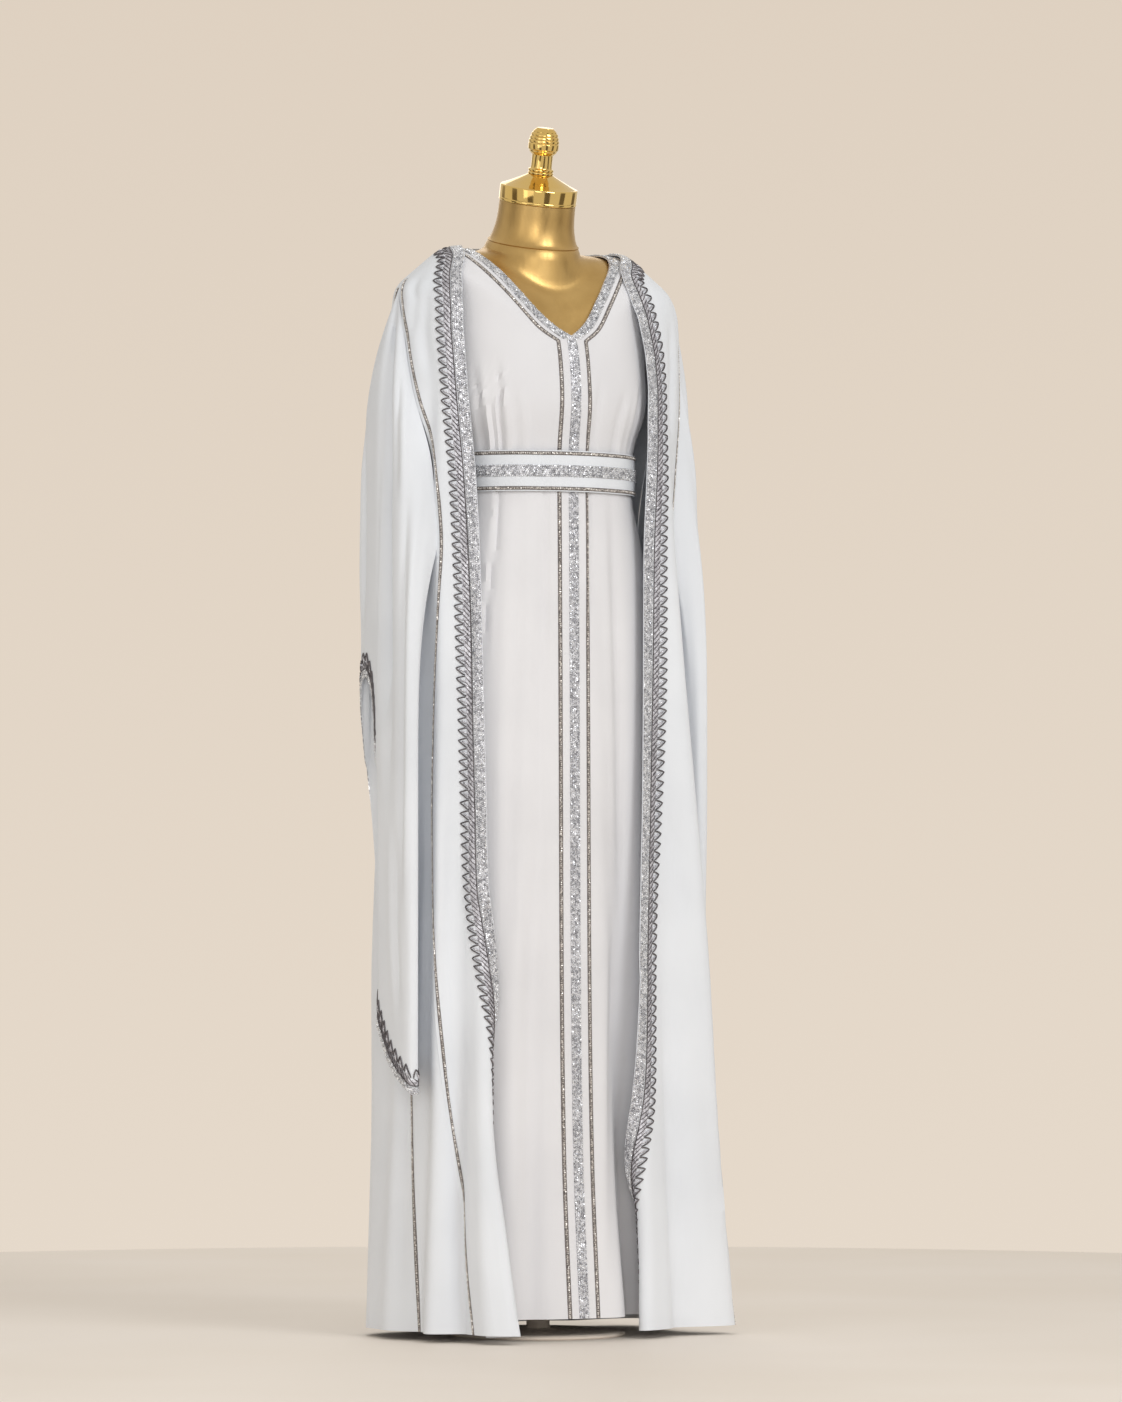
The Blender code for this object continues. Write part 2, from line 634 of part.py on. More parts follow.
def build_dress(layer, cloth, silver, line_paint):
    """The dress with its neck band, centre band and two lines."""
    levels = dress_levels()
    corner = int(np.flatnonzero(levels == 2.0)[0])
    fronts = {}
    for side, word in ((-1, "R"), (1, "L")):
        neck = np.interp(levels, (0.0, 1.0, 2.0), DRESS_NECK_TURN[side])
        bend = np.sin(np.clip(levels, 0, 2) * np.pi) * DRESS_NECK_BEND
        inner = np.stack([side * (neck - bend), levels], axis=-1)
        outside = outer_level(levels)
        outer = np.stack([side * dress_side_angle(outside), outside], axis=-1)
        ends = dict(seam_start=True, level_end=True)
        first = inner.copy()
        first[corner:] = shifted(layer, inner[corner:], SEAM_GAP / 2, side)
        first[corner] = inner[corner]
        first[corner:, 0] = first[corner + 1, 0]
        paths = [first]
        for distance in (CENTRE_COLUMN, DRESS_LINE_INNER, DRESS_LINE_OUTER):
            paths.append(shifted(layer, inner, distance, side, **ends))
        outer[levels >= 4.0] = shifted(
            layer, outer[levels >= 4.0], SEAM_GAP / 2, -side, level_end=True
        )
        paths += filled_between(paths[-1], outer, 5)
        grid = opened_at_seam(layer, np.stack(paths, axis=1), -side)
        points, normals = rows_of(layer, grid)
        fronts[side] = (points, normals)
        slab(f"dress_front_{word}", points, normals, CLOTH, cloth)
        line, facing = strip(points, normals, ((2, 0.0), (2, 1.0)))
        split = inner_split(points, normals)[:, 2:3]
        slab(f"dress_line_{word}", line, facing, TRIM, line_paint, split=split)
    back_points, back_normals = build_dress_back(layer, cloth)
    build_neck_band(fronts, back_points, back_normals, corner, silver)
    build_centre_band(fronts, corner, silver)


def build_dress_back(layer, cloth):
    """The back panel, from one side seam round to the other."""
    levels = np.array(
        [0.0, NECK_BAND_LEVEL, 1.0, 1.5, 2.0, 2.5, 3.0, 3.5, 4.0, 4.5, 5.0, 5.5, 6.0]
        + [6.5, 7.0, 7.5, 8.0, 9.0, 9.6, 10.3, 11.0, 11.5, 12.0]
    )
    half_span = dress_side_angle(levels)
    by_angle, _ = layer.gradients(180.0 - half_span, levels)
    half_span = half_span - SEAM_GAP / 2 / np.linalg.norm(by_angle, axis=-1)
    share = np.linspace(-1, 1, 11)
    angle = 180.0 + half_span[:, None] * share[None, :]
    grid = np.stack([angle, np.broadcast_to(levels[:, None], angle.shape)], axis=-1)
    points, normals = rows_of(layer, grid)
    slab("dress_back", points, normals, CLOTH, cloth)
    return points, normals


def build_neck_band(fronts, back_points, back_normals, corner, silver):
    """One band along the right front, the back neck and the left front."""
    share = (NECK_BAND - CENTRE_BAND_HALF) / (DRESS_LINE_INNER - CENTRE_BAND_HALF)
    places = ((0, 0.0), (1, 0.0), (1, share))
    right, right_facing = strip(*(part[: corner + 1] for part in fronts[-1]), places)
    left, left_facing = strip(*(part[: corner + 1] for part in fronts[1]), places)
    raised = CLOTH / 2 + TRIM_LIFT + TRIM / 2
    back_facing = back_normals[:2].transpose(1, 0, 2)
    back = back_points[:2].transpose(1, 0, 2) + back_facing * raised
    back, back_facing = (
        np.stack([part[:, 0], (part[:, 0] + part[:, 1]) / 2, part[:, 1]], axis=1)
        for part in (back, back_facing)
    )
    point = NECK_BAND_POINT_SHARE
    for part in (right, left):
        part[-1] = part[-1] * (1 - point) + part[-2] * point
    points = np.concatenate([left[::-1], back[1:-1], right])
    facing = np.concatenate([left_facing[::-1], back_facing[1:-1], right_facing])
    slab("dress_neck_band", points, facing, TRIM, silver)


def build_centre_band(fronts, corner, silver):
    """The band down the centre front, bridging both front panels."""
    side, centre = (0, CENTRE_BAND_SHARE), (0, 0.0)
    right, right_facing = strip(*(part[corner:] for part in fronts[-1]), (side, centre))
    left, left_facing = strip(*(part[corner:] for part in fronts[1]), (centre, side))
    middle = (right[:, 1:] + left[:, :1]) / 2
    middle_facing = unit(right_facing[:, 1:] + left_facing[:, :1])
    points = np.concatenate([right[:, :1], middle, left[:, 1:]], axis=1)
    facing = np.concatenate([right_facing[:, :1], middle_facing, left_facing[:, 1:]], axis=1)
    top = CENTRE_BAND_TOP_SHARE
    points[0] = points[0] * (1 - top) + points[1] * top
    slab("dress_centre_band", points, facing, TRIM, silver)


def level_at(layer, z):
    """The level where a layer's side is at this height."""
    return float(np.interp(-z, -layer.columns[:, 0], layer.levels))


def build_belt(layer, cloth, silver, line_paint):
    """The belt with its wide band and its two edge lines."""
    angles = np.linspace(0, 360, BELT_SIDES, endpoint=False)

    def loop(low, high, lift):
        heights = (BELT_Z + high, BELT_Z + low)
        widest = np.array([level_at(layer, BELT_Z)] * 2)
        points = layer.point(angles[:, None], widest[None, :])
        facing = layer.normal(angles[:, None], widest[None, :])
        facing[..., 2] = 0.0
        facing = unit(facing)
        points[..., 2] = heights
        return points + facing * lift, facing

    half = BELT_WIDTH / 2
    on_cloth = BELT_LIFT + CLOTH / 2 + TRIM_LIFT + TRIM / 2
    points, facing = loop(-half, half, BELT_LIFT)
    slab("belt_cloth", points, facing, CLOTH, cloth, ring=True)
    bands = (
        ("belt_centre_band", 0.0, BELT_BAND_WIDTH, silver),
        ("belt_line_upper", half - BELT_LINE_INSET, BELT_LINE_WIDTH, line_paint),
        ("belt_line_lower", -half + BELT_LINE_INSET, BELT_LINE_WIDTH, line_paint),
    )
    for name, middle, width, material in bands:
        points, facing = loop(middle - width / 2, middle + width / 2, on_cloth)
        slab(name, points, facing, TRIM, material, ring=True)


def turn_reach(turn):
    """How far in from its edge the cloth starts to turn, for some whole turn."""
    return TURN_LEAST_REACH + TURN_MORE_REACH * turn**2


def turned_under(flat_points, flat_normals, turns):
    """Turn each row of a robe front under by some radians along its free edge."""
    points, normals = flat_points.copy(), flat_normals.copy()
    for row, whole_turn in enumerate(turns):
        if whole_turn <= 0.0:
            continue
        radius, reach = TURN_ARC / whole_turn, turn_reach(whole_turn)
        widths = np.linalg.norm(np.diff(flat_points[row], axis=0), axis=-1)
        distances = np.concatenate([[0.0], np.cumsum(widths)])
        pivot = np.interp(reach, distances, np.arange(len(distances)))
        low, share = int(pivot), pivot - int(pivot)
        start, out = across(flat_points[row][None], flat_normals[row][None], low, share)
        start, out = start[0], out[0]
        ahead = unit(flat_points[row, low] - flat_points[row, low + 1])
        ahead = unit(ahead - out * (ahead @ out))
        for column in range(low + 1):
            run = reach - distances[column]
            turn = whole_turn * min(run / TURN_ARC, 1.0)
            beyond = max(run - TURN_ARC, 0.0)
            forward = radius * math.sin(turn) + beyond * math.cos(turn)
            inward = radius * (1 - math.cos(turn)) + beyond * math.sin(turn)
            points[row, column] = start + ahead * forward - out * inward
            normals[row, column] = out * math.cos(turn) + ahead * math.sin(turn)
    return points, normals


def turned_width(turns):
    """How much of the cloth lies beyond the visible edge once it is turned under."""
    turns = np.maximum(turns, 1e-6)
    front_turn = np.minimum(turns, math.pi / 2)
    visible = TURN_ARC / turns * np.sin(front_turn)
    visible = visible + (turn_reach(turns) - TURN_ARC) * np.cos(front_turn)
    return turn_reach(turns) - visible


def robe_levels():
    """The levels of the robe panels' rows, from the neck to the hem."""
    top = [0.0, 0.5, 1.0, 1.5, 2.0, 2.5, 3.0, 3.5, 4.0, 4.5, 5.0, 5.5, 6.0]
    body = [6.5, 7.25, 8.0, 8.5, 9.0, 9.5, 10.0, 10.5, 11.0, 11.5, 12.0]
    return np.array(top + body)


def robe_edge_path(layer, side, number, levels):
    """A robe front's free edge, with what is turned under, from its seam down."""
    start_angle = layer.edge(number, levels)[0] * side
    top = float(np.interp(-90.0, -start_angle[:4], levels[:4]))
    edge_levels = np.where(levels < 1.0, top + (1.0 - top) * levels, levels)
    angle, reach, turned, _, _ = layer.edge(number, edge_levels)
    angle[0] = side * 90.0
    turns = np.radians(turned)
    angle = angle - side * np.degrees(turned_width(turns) / reach)
    return np.stack([angle, edge_levels], axis=-1), turns


def build_robe_front(layer, side, cloth, silver, braid_paint, line_paint):
    """One robe front with its edge band, toothed braid and seam line."""
    number, word = {-1: (0, "R"), 1: (1, "L")}[side]
    levels = np.sort(np.concatenate([robe_levels(), SHOULDER_ROWS[side]]))
    inner, turns = robe_edge_path(layer, side, number, levels)
    outside = outer_level(levels)
    outer = np.stack([layer.edge(number, outside)[3], outside], axis=-1)
    outer[0] = (side * 90.0, 2.0)
    ends = dict(seam_start=True, level_end=True)
    distances = (EDGE_BAND, BRAID_VALLEY, BRAID_TIP)
    paths = [inner] + [shifted(layer, inner, d, side, **ends) for d in distances]
    seam_paths = []
    for distance in (SEAM_LINE_INNER, SEAM_LINE_OUTER, SEAM_GAP / 2):
        path = shifted(layer, outer, distance, -side, level_end=True)
        path[0] = (side * 90.0, 2.0 - distance / SHOULDER_LEVEL_LENGTH)
        seam_paths.append(path)
    paths += filled_between(paths[-1], seam_paths[0], FRONT_SPANS) + seam_paths[1:]
    grid = opened_at_seam(layer, np.stack(paths, axis=1), -side)
    points, normals = rows_of(layer, grid)
    points, normals = turned_under(points, normals, turns)
    slab(f"robe_front_{word}", points, normals, CLOTH, cloth)
    band, facing = strip(points, normals, [(0, share) for share in EDGE_BAND_SHARES])
    split = inner_split(points, normals)
    slab(f"robe_edge_band_{word}", band, facing, TRIM, silver, split=split[:, :1])
    raised = raised_off(points, normals)
    base, base_facing = across(raised, normals, 1, EDGE_BRAID_SHARE)
    facings = (base_facing, normals[:, 2], normals[:, 3])
    name = f"robe_edge_braid_{word}"
    braid(name, base, raised[:, 2], raised[:, 3], facings, BRAID_PITCH, braid_paint)
    line, facing = strip(points, normals, ((-3, 0.0), (-3, 1.0)))
    slab(f"robe_front_line_{word}", line, facing, TRIM, line_paint, split=split[:, -2:-1])


def build_robe_side(layer, side, cloth):
    """The panel under one sleeve, between the front and back seams."""
    number, word = {-1: (0, "R"), 1: (1, "L")}[side]
    levels = robe_levels()
    levels = levels[levels >= 6.0]
    _, _, _, front_seam, back_seam = layer.edge(number, levels)
    first = shifted(
        layer, np.stack([front_seam, levels], -1), SEAM_GAP / 2, side, level_end=True
    )
    last = shifted(
        layer, np.stack([back_seam, levels], -1), SEAM_GAP / 2, -side, level_end=True
    )
    grid = np.stack([first] + filled_between(first, last, 5), axis=1)
    points, normals = rows_of(layer, grid)
    slab(f"robe_side_{word}", points, normals, CLOTH, cloth)


def build_robe_back(layer, cloth, line_paint):
    """The back panel with a line along each of its seams."""
    levels = robe_levels()
    spread = np.linspace(0, 1, BACK_SPANS)
    lines = []
    for side, number in ((1, 1), (-1, 0)):
        seam = layer.edge(number, levels)[4]
        seam[levels <= 2.0] = side * 90.0
        drop = BACK_TOP_DROP[side] * np.clip(1 - levels, 0, 1)
        path = np.stack([seam % 360.0, levels + drop], axis=-1)
        for distance in (SEAM_GAP / 2, SEAM_LINE_OUTER, SEAM_LINE_INNER):
            moved = path.copy()
            by_angle, _ = layer.gradients(path[:, 0], path[:, 1])
            degree = np.linalg.norm(by_angle, axis=-1)
            moved[:, 0] += side * distance / degree
            lines.append(moved)
    left, right = lines[:3], lines[3:]
    middle = [left[2] + (right[2] - left[2]) * share for share in spread[1:-1]]
    grid = np.stack(left + middle + right[::-1], axis=1)
    points, normals = rows_of(layer, grid)
    slab("robe_back", points, normals, CLOTH, cloth)
    below = levels >= 2.0
    for word, column in (("L", 1), ("R", points.shape[1] - 3)):
        part = points[below], normals[below]
        line, facing = strip(*part, ((column, 0.0), (column, 1.0)))
        split = inner_split(*part)[:, column : column + 1]
        slab(f"robe_back_line_{word}", line, facing, TRIM, line_paint, split=split)


def armhole_point(layer, side, place):
    """A point of the armhole's rim, and the way out of the robe there."""
    number = {-1: 0, 1: 1}[side]
    tip, low = 2.0, 6.0
    if place <= 1.0:
        level = tip + (low - tip) * place
        angle = layer.edge(number, np.array(level))[3]
    elif place <= 2.0:
        level = low
        _, _, _, front, back = layer.edge(number, np.array(level))
        angle = front + (back - front) * (place - 1.0)
    else:
        level = low - (low - tip) * (place - 2.0)
        angle = layer.edge(number, np.array(level))[4]
    where = (np.array(float(angle)), np.array(float(level)))
    return layer.point(*where), layer.normal(*where)


def sleeve_loop(side, turn):
    """A point of the hanging sleeve's flat loop, seen from above."""
    around = 2 * math.pi * turn
    across_it = math.copysign(abs(math.cos(around)) ** 0.6, math.cos(around))
    y = SLEEVE_CENTRE_Y[side] - SLEEVE_HALF_LENGTH * math.sin(around)
    groove = 0.010 * math.exp(-(((y + 0.008) / 0.014) ** 2)) * max(across_it, 0.0)
    out = SLEEVE_OUT[side] + SLEEVE_HALF_THICKNESS * across_it - groove
    return np.array([side * out, y])


def sleeve_grid(layer, side):
    """The points of one hanging sleeve, as lines from its armhole to its cuff."""
    grid = np.zeros((len(SLEEVE_STATIONS), SLEEVE_ROWS, 3))
    for number, station in enumerate(SLEEVE_STATIONS):
        rim, out = armhole_point(layer, side, station.armhole)
        rim = rim + out * LAP_LIFT
        for row in range(SLEEVE_ROWS):
            part = row / (SLEEVE_ROWS - 1)
            share = np.clip(part / SLEEVE_HEAD, 0, 1)
            head = np.array([1 - (1 - share) ** 2, share * share * (3 - 2 * share)])
            turn = station.hang_turn + (station.cuff_turn - station.hang_turn) * part**1.5
            flat = sleeve_loop(side, turn)
            grid[number, row, :2] = rim[:2] * (1 - head) + flat * head
            grid[number, row, 2] = rim[2] + (station.cuff_z - rim[2]) * part
    return grid


def sleeve_normals(grid, side):
    """Outward normals of a tube given as lines down its length."""
    around = np.roll(grid, -1, axis=0) - np.roll(grid, 1, axis=0)
    down = np.gradient(grid, axis=1)
    return unit(np.cross(around, down)) * side


def build_sleeve(layer, side, cloth, silver, braid_paint):
    """One sleeve with its cuff band and toothed braid."""
    word = {-1: "R", 1: "L"}[side]
    grid = sleeve_grid(layer, side)
    normals = sleeve_normals(grid, side)
    lengths = np.linalg.norm(np.diff(grid, axis=1), axis=-1)
    grid, normals = with_cuff_columns(grid, normals, lengths)
    slab(f"sleeve_{word}", grid, normals, CLOTH, cloth, ring=True)
    raised = raised_off(grid, normals, ring=True)
    band = raised[:, [-2, -1]]
    gap = CUFF_TRIM_GAP_SHARE
    band[:, 0] = band[:, 0] * (1 - gap) + band[:, 1] * gap
    slab(f"cuff_band_{word}", band, normals[:, [-2, -1]], TRIM, silver, ring=True)
    base = raised[:, -2] * (1 - gap) + raised[:, -3] * gap
    facings = (normals[:, -2], normals[:, -3], normals[:, -4])
    name = f"cuff_braid_{word}"
    braid(name, base, raised[:, -3], raised[:, -4], facings, CUFF_PITCH, braid_paint)


def with_cuff_columns(grid, normals, lengths):
    """Put lines across the tube at the cuff trim's edges."""
    total = lengths.sum(axis=1)
    distances = (CUFF_TIP, CUFF_VALLEY, CUFF_BAND, 0.0)
    keep = SLEEVE_ROWS - 2
    points_out, normals_out = [], []
    for line, out, steps, length in zip(grid, normals, lengths, total):
        run = np.concatenate([[0.0], np.cumsum(steps)])
        at = np.concatenate([
            np.linspace(0, length - CUFF_TIP, keep, endpoint=False),
            length - np.array(distances),
        ])
        points_out.append(np.stack([np.interp(at, run, c) for c in line.T], -1))
        normals_out.append(unit(np.stack([np.interp(at, run, c) for c in out.T], -1)))
    return np.stack(points_out), np.stack(normals_out)


def ring_solid(name, loops, material):
    """A closed solid through loops of points, capped at both ends."""
    sides = len(loops[0])
    points = np.concatenate(loops)
    faces = []
    for number in range(len(loops) - 1):
        for k in range(sides):
            a, b = number * sides + k, number * sides + (k + 1) % sides
            faces += [(a, b, b + sides), (a, b + sides, a + sides)]
    last = (len(loops) - 1) * sides
    for k in range(1, sides - 1):
        faces += [(0, k + 1, k), (last, last + k, last + k + 1)]
    return solid(name, points, faces, material)


def turned(name, profile, foot, axis, sides, material):
    """A solid turned on a leaning axis from (radius, height) pairs."""
    axis = unit(np.array(axis, float))
    right = unit(np.cross((0.0, 1.0, 0.0), axis))
    ahead = np.cross(axis, right)
    angles = np.linspace(0, 2 * math.pi, sides, endpoint=False)
    loops = []
    for radius, height in profile:
        spokes = np.outer(np.cos(angles), right) + np.outer(np.sin(angles), ahead)
        loops.append(np.array(foot) + axis * height + spokes * radius)
    return ring_solid(name, loops, material)


def build_form(dress, gold, brass, cream):
    """The torso with its neck, the cap and finial, the pole and the base."""
    angles = np.linspace(0, 360, TORSO_SIDES, endpoint=False)
    turn = np.radians(angles)
    loops = []
    for z, half_width, front, back in TORSO_RINGS:
        depth = np.where(np.cos(turn) > 0, front, back)
        radius = 1 / np.sqrt((np.sin(turn) / half_width) ** 2 + (np.cos(turn) / depth) ** 2)
        heights = np.full(TORSO_SIDES, z)
        loops.append(np.stack([radius * np.sin(turn), -radius * np.cos(turn), heights], -1))
    for level, inset in FORM_INSETS:
        points = dress.point(angles, np.full(TORSO_SIDES, level))
        normals = dress.normal(angles, np.full(TORSO_SIDES, level))
        depth = inset + FRONT_INSET * np.cos(turn) ** 2
        loops.append(points - normals * depth[:, None])
    axis = unit(np.array(NECK_LEAN))
    foot = np.array(NECK_FOOT)
    flat = np.stack([np.sin(turn), -np.cos(turn), np.zeros(TORSO_SIDES)], -1)
    for radius, height in NECK_RINGS:
        circle = flat * radius
        circle[:, 2] = -(circle @ axis) / axis[2]
        loops.append(foot + axis * height + circle)
    ring_solid("form_torso", loops, gold)
    cap = foot + axis * (NECK_RINGS[-1][1] + SEAM_GAP)
    turned("form_neck_cap", CAP_PROFILE, cap, axis, CAP_SIDES, brass)
    finial = cap + axis * (CAP_PROFILE[-1][1] + SEAM_GAP)
    turned("form_finial", FINIAL_PROFILE, finial, axis, FINIAL_SIDES, brass)
    up = (0.0, 0.0, 1.0)
    turned("form_base", BASE_PROFILE, (0.0, 0.0, 0.0), up, BASE_SIDES, cream)
    pole_foot = BASE_HEIGHT + SEAM_GAP
    pole_profile = ((POLE_RADIUS, 0.0), (POLE_RADIUS, FORM_BOTTOM - SEAM_GAP - pole_foot))
    turned("form_pole", pole_profile, (0.0, 0.0, pole_foot), up, POLE_SIDES, cream)


def main():
    """Clear the scene and build the set."""
    for piece in list(bpy.data.objects):
        bpy.data.objects.remove(piece, do_unlink=True)
    cloth = paint("white crepe", (0.86, 0.88, 0.92), 0.75, 0.0)
    silver = paint("silver rhinestone", (0.62, 0.64, 0.68), 0.30, 0.6)
    braid_paint = paint("dark silver braid", (0.30, 0.30, 0.33), 0.45, 0.5)
    line_paint = paint("narrow rhinestone", (0.45, 0.45, 0.47), 0.35, 0.5)
    gold = paint("satin gold", (0.52, 0.34, 0.12), 0.45, 0.6)
    brass = paint("polished brass", (0.80, 0.56, 0.20), 0.15, 1.0)
    cream = paint("cream steel", (0.72, 0.64, 0.56), 0.55, 0.0)
    dress = Layer(DRESS_RINGS, DRESS_FOLDS)
    robe = Layer(ROBE_RINGS, ROBE_FOLDS, (RIGHT_EDGES, LEFT_EDGES))
    build_dress(dress, cloth, silver, line_paint)
    build_belt(dress, cloth, silver, line_paint)
    for side in (-1, 1):
        build_robe_front(robe, side, cloth, silver, braid_paint, line_paint)
        build_robe_side(robe, side, cloth)
        build_sleeve(robe, side, cloth, silver, braid_paint)
    build_robe_back(robe, cloth, line_paint)
    build_form(dress, gold, brass, cream)


main()
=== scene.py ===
"""White kaftan of an open robe over a belted dress, on a gold dress form.

Every cloth panel is a thin shell worked out from the same rings, edges and folds
as its solid. Metres, +Z up, the front faces -Y and the wearer's left is +X. An
angle goes round a layer: 0 is the centre front, +90 the wearer's left side.
"""

import logging
import math
from dataclasses import astuple, dataclass
from enum import Enum

import bpy
import numpy as np
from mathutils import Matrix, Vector


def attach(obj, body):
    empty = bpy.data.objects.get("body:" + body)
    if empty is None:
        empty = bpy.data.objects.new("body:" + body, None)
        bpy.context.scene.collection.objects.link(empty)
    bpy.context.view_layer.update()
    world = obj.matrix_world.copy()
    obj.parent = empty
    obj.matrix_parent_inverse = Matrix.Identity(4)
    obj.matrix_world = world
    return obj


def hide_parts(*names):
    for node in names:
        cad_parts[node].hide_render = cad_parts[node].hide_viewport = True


log = logging.getLogger("kaftan")
Array = np.ndarray

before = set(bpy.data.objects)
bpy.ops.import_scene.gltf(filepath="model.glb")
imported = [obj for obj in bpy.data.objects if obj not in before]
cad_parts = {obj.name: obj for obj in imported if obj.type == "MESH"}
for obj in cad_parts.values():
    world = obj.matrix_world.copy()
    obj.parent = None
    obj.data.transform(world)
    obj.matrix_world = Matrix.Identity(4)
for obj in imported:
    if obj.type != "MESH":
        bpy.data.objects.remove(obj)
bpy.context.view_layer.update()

CLOTH = 0.0012
SEAM_GAP = 0.00005
LAP_LIFT = 0.0014
BODY = "root"
TIP_LEVEL = 2.0
UNDERARM_LEVEL = 6.0
SIDE_ANGLE = 90.0


class Side(Enum):
    """The wearer's right or left, as the sign of x."""

    RIGHT = -1
    LEFT = 1

    @property
    def letter(self) -> str:
        """The letter that ends the names of this side's pieces."""
        return {Side.RIGHT: "R", Side.LEFT: "L"}[self]

    @property
    def number(self) -> int:
        """The place of this side's edges in a robe layer."""
        return {Side.RIGHT: 0, Side.LEFT: 1}[self]


class Row:
    """A row of a table: a name, and then its numbers."""

    def sizes(self) -> list[float]:
        """The numbers of the row."""
        return list(astuple(self))[1:]


@dataclass(frozen=True)
class Ring(Row):
    """One level of a layer: its heights, its half width and its depths."""

    name: str
    side_z: float
    front_z: float
    back_z: float
    half_width: float
    front: float
    back: float
    centre_y: float


@dataclass(frozen=True)
class Edge(Row):
    """Where a robe front starts and its seams run at one level, in degrees."""

    name: str
    edge: float
    reach: float
    turned: float
    front_seam: float
    back_seam: float


@dataclass(frozen=True)
class Fold:
    """A lengthwise ridge, or a valley where its depth is negative."""

    name: str
    waist_angle: float
    hem_angle: float
    spread: float
    waist_depth: float
    knee_depth: float
    hem_depth: float


@dataclass(frozen=True)
class Crease:
    """A soft trough with a ridge beside it, along a line of (angle, height) places."""

    name: str
    line: tuple[tuple[float, float], ...]
    width: float
    depth: float
    lean: float = 1.0


DRESS_RINGS = (
    Ring("neck", 1.4960, 1.448, 1.504, 0.0965, 0.076, 0.054, 0.0200),
    Ring("shoulder", 1.4898, 1.410, 1.482, 0.1400, 0.094, 0.084, 0.0169),
    Ring("shoulder tip", 1.4695, 1.372, 1.445, 0.1655, 0.115, 0.105, 0.0150),
    Ring("armhole", 1.360, 1.335, 1.360, 0.160, 0.118, 0.115, 0.008),
    Ring("bust", 1.275, 1.275, 1.275, 0.154, 0.115, 0.112, 0.0),
    Ring("midriff", 1.225, 1.225, 1.225, 0.136, 0.108, 0.100, 0.0),
    Ring("waist", 1.185, 1.185, 1.185, 0.132, 0.105, 0.097, 0.0),
    Ring("skirt top", 1.145, 1.145, 1.145, 0.136, 0.107, 0.100, 0.0),
    Ring("hip", 1.050, 1.050, 1.050, 0.157, 0.108, 0.118, 0.0),
    Ring("thigh", 0.850, 0.850, 0.850, 0.168, 0.110, 0.128, 0.0),
    Ring("knee", 0.500, 0.500, 0.500, 0.172, 0.113, 0.135, 0.0),
    Ring("calf", 0.250, 0.250, 0.250, 0.176, 0.120, 0.140, 0.0),
    Ring("hem", 0.030, 0.030, 0.030, 0.180, 0.139, 0.148, 0.0),
)

DRESS_FOLDS = (
    Fold("right skirt crease", -24.0, -30.0, 5.0, -0.004, -0.003, -0.004),
    Fold("right skirt ridge", -40.0, -46.0, 9.0, 0.002, 0.005, 0.010),
    Fold("left front valley", 34.0, 46.0, 13.0, -0.002, -0.012, -0.034),
    Fold("left front ridge", 22.0, 22.0, 9.0, 0.000, 0.002, 0.006),
    Fold("left side ridge", 78.0, 82.0, 10.0, 0.000, 0.003, 0.006),
    Fold("right side valley", -72.0, -76.0, 8.0, 0.000, -0.005, -0.010),
    Fold("left back ridge", 118.0, 122.0, 12.0, 0.002, 0.006, 0.012),
    Fold("back valley", 160.0, 165.0, 10.0, -0.002, -0.008, -0.012),
    Fold("right back ridge", -140.0, -136.0, 12.0, 0.002, 0.008, 0.014),
)

ROBE_RINGS = (
    Ring("neck", 1.5000, 1.464, 1.509, 0.107, 0.080, 0.058, 0.0192),
    Ring("shoulder", 1.4955, 1.427, 1.489, 0.140, 0.097, 0.088, 0.0169),
    Ring("shoulder tip", 1.4430, 1.374, 1.434, 0.205, 0.113, 0.120, 0.0120),
    Ring("chest", 1.395, 1.345, 1.385, 0.213, 0.110, 0.132, 0.005),
    Ring("armhole", 1.300, 1.300, 1.300, 0.214, 0.100, 0.140, 0.0),
    Ring("waist", 1.185, 1.185, 1.185, 0.207, 0.105, 0.150, 0.0),
    Ring("underarm", 1.075, 1.075, 1.075, 0.198, 0.112, 0.160, 0.0),
    Ring("hip", 0.900, 0.900, 0.900, 0.197, 0.122, 0.172, 0.0),
    Ring("thigh", 0.735, 0.735, 0.735, 0.197, 0.131, 0.182, 0.0),
    Ring("knee", 0.520, 0.520, 0.520, 0.198, 0.140, 0.188, 0.0),
    Ring("calf", 0.330, 0.330, 0.330, 0.200, 0.150, 0.192, 0.0),
    Ring("ankle", 0.160, 0.160, 0.160, 0.208, 0.160, 0.196, 0.0),
    Ring("hem", 0.012, 0.012, 0.004, 0.216, 0.170, 0.200, 0.0),
)

RIGHT_EDGES = (
    Edge("neck", -90.0, 0.107, 0.0, -90.0, -90.0),
    Edge("shoulder", -70.0, 0.140, 0.0, -90.0, -90.0),
    Edge("shoulder tip", -63.0, 0.163, 0.0, -90.0, -90.0),
    Edge("chest", -64.0, 0.166, 0.0, -87.0, -94.0),
    Edge("armhole", -63.5, 0.161, 0.0, -83.0, -99.0),
    Edge("waist", -60.0, 0.156, 0.0, -75.0, -107.0),
    Edge("underarm", -57.2, 0.157, 0.0, -72.0, -110.0),
    Edge("hip", -54.4, 0.161, 0.0, -75.0, -108.0),
    Edge("thigh", -51.9, 0.166, 0.0, -77.0, -101.0),
    Edge("knee", -50.0, 0.177, 78.0, -72.0, -93.0),
    Edge("calf", -47.2, 0.191, 142.0, -66.0, -87.0),
    Edge("ankle", -40.5, 0.204, 160.0, -59.0, -82.0),
    Edge("hem", -34.0, 0.216, 165.0, -53.0, -78.0),
)

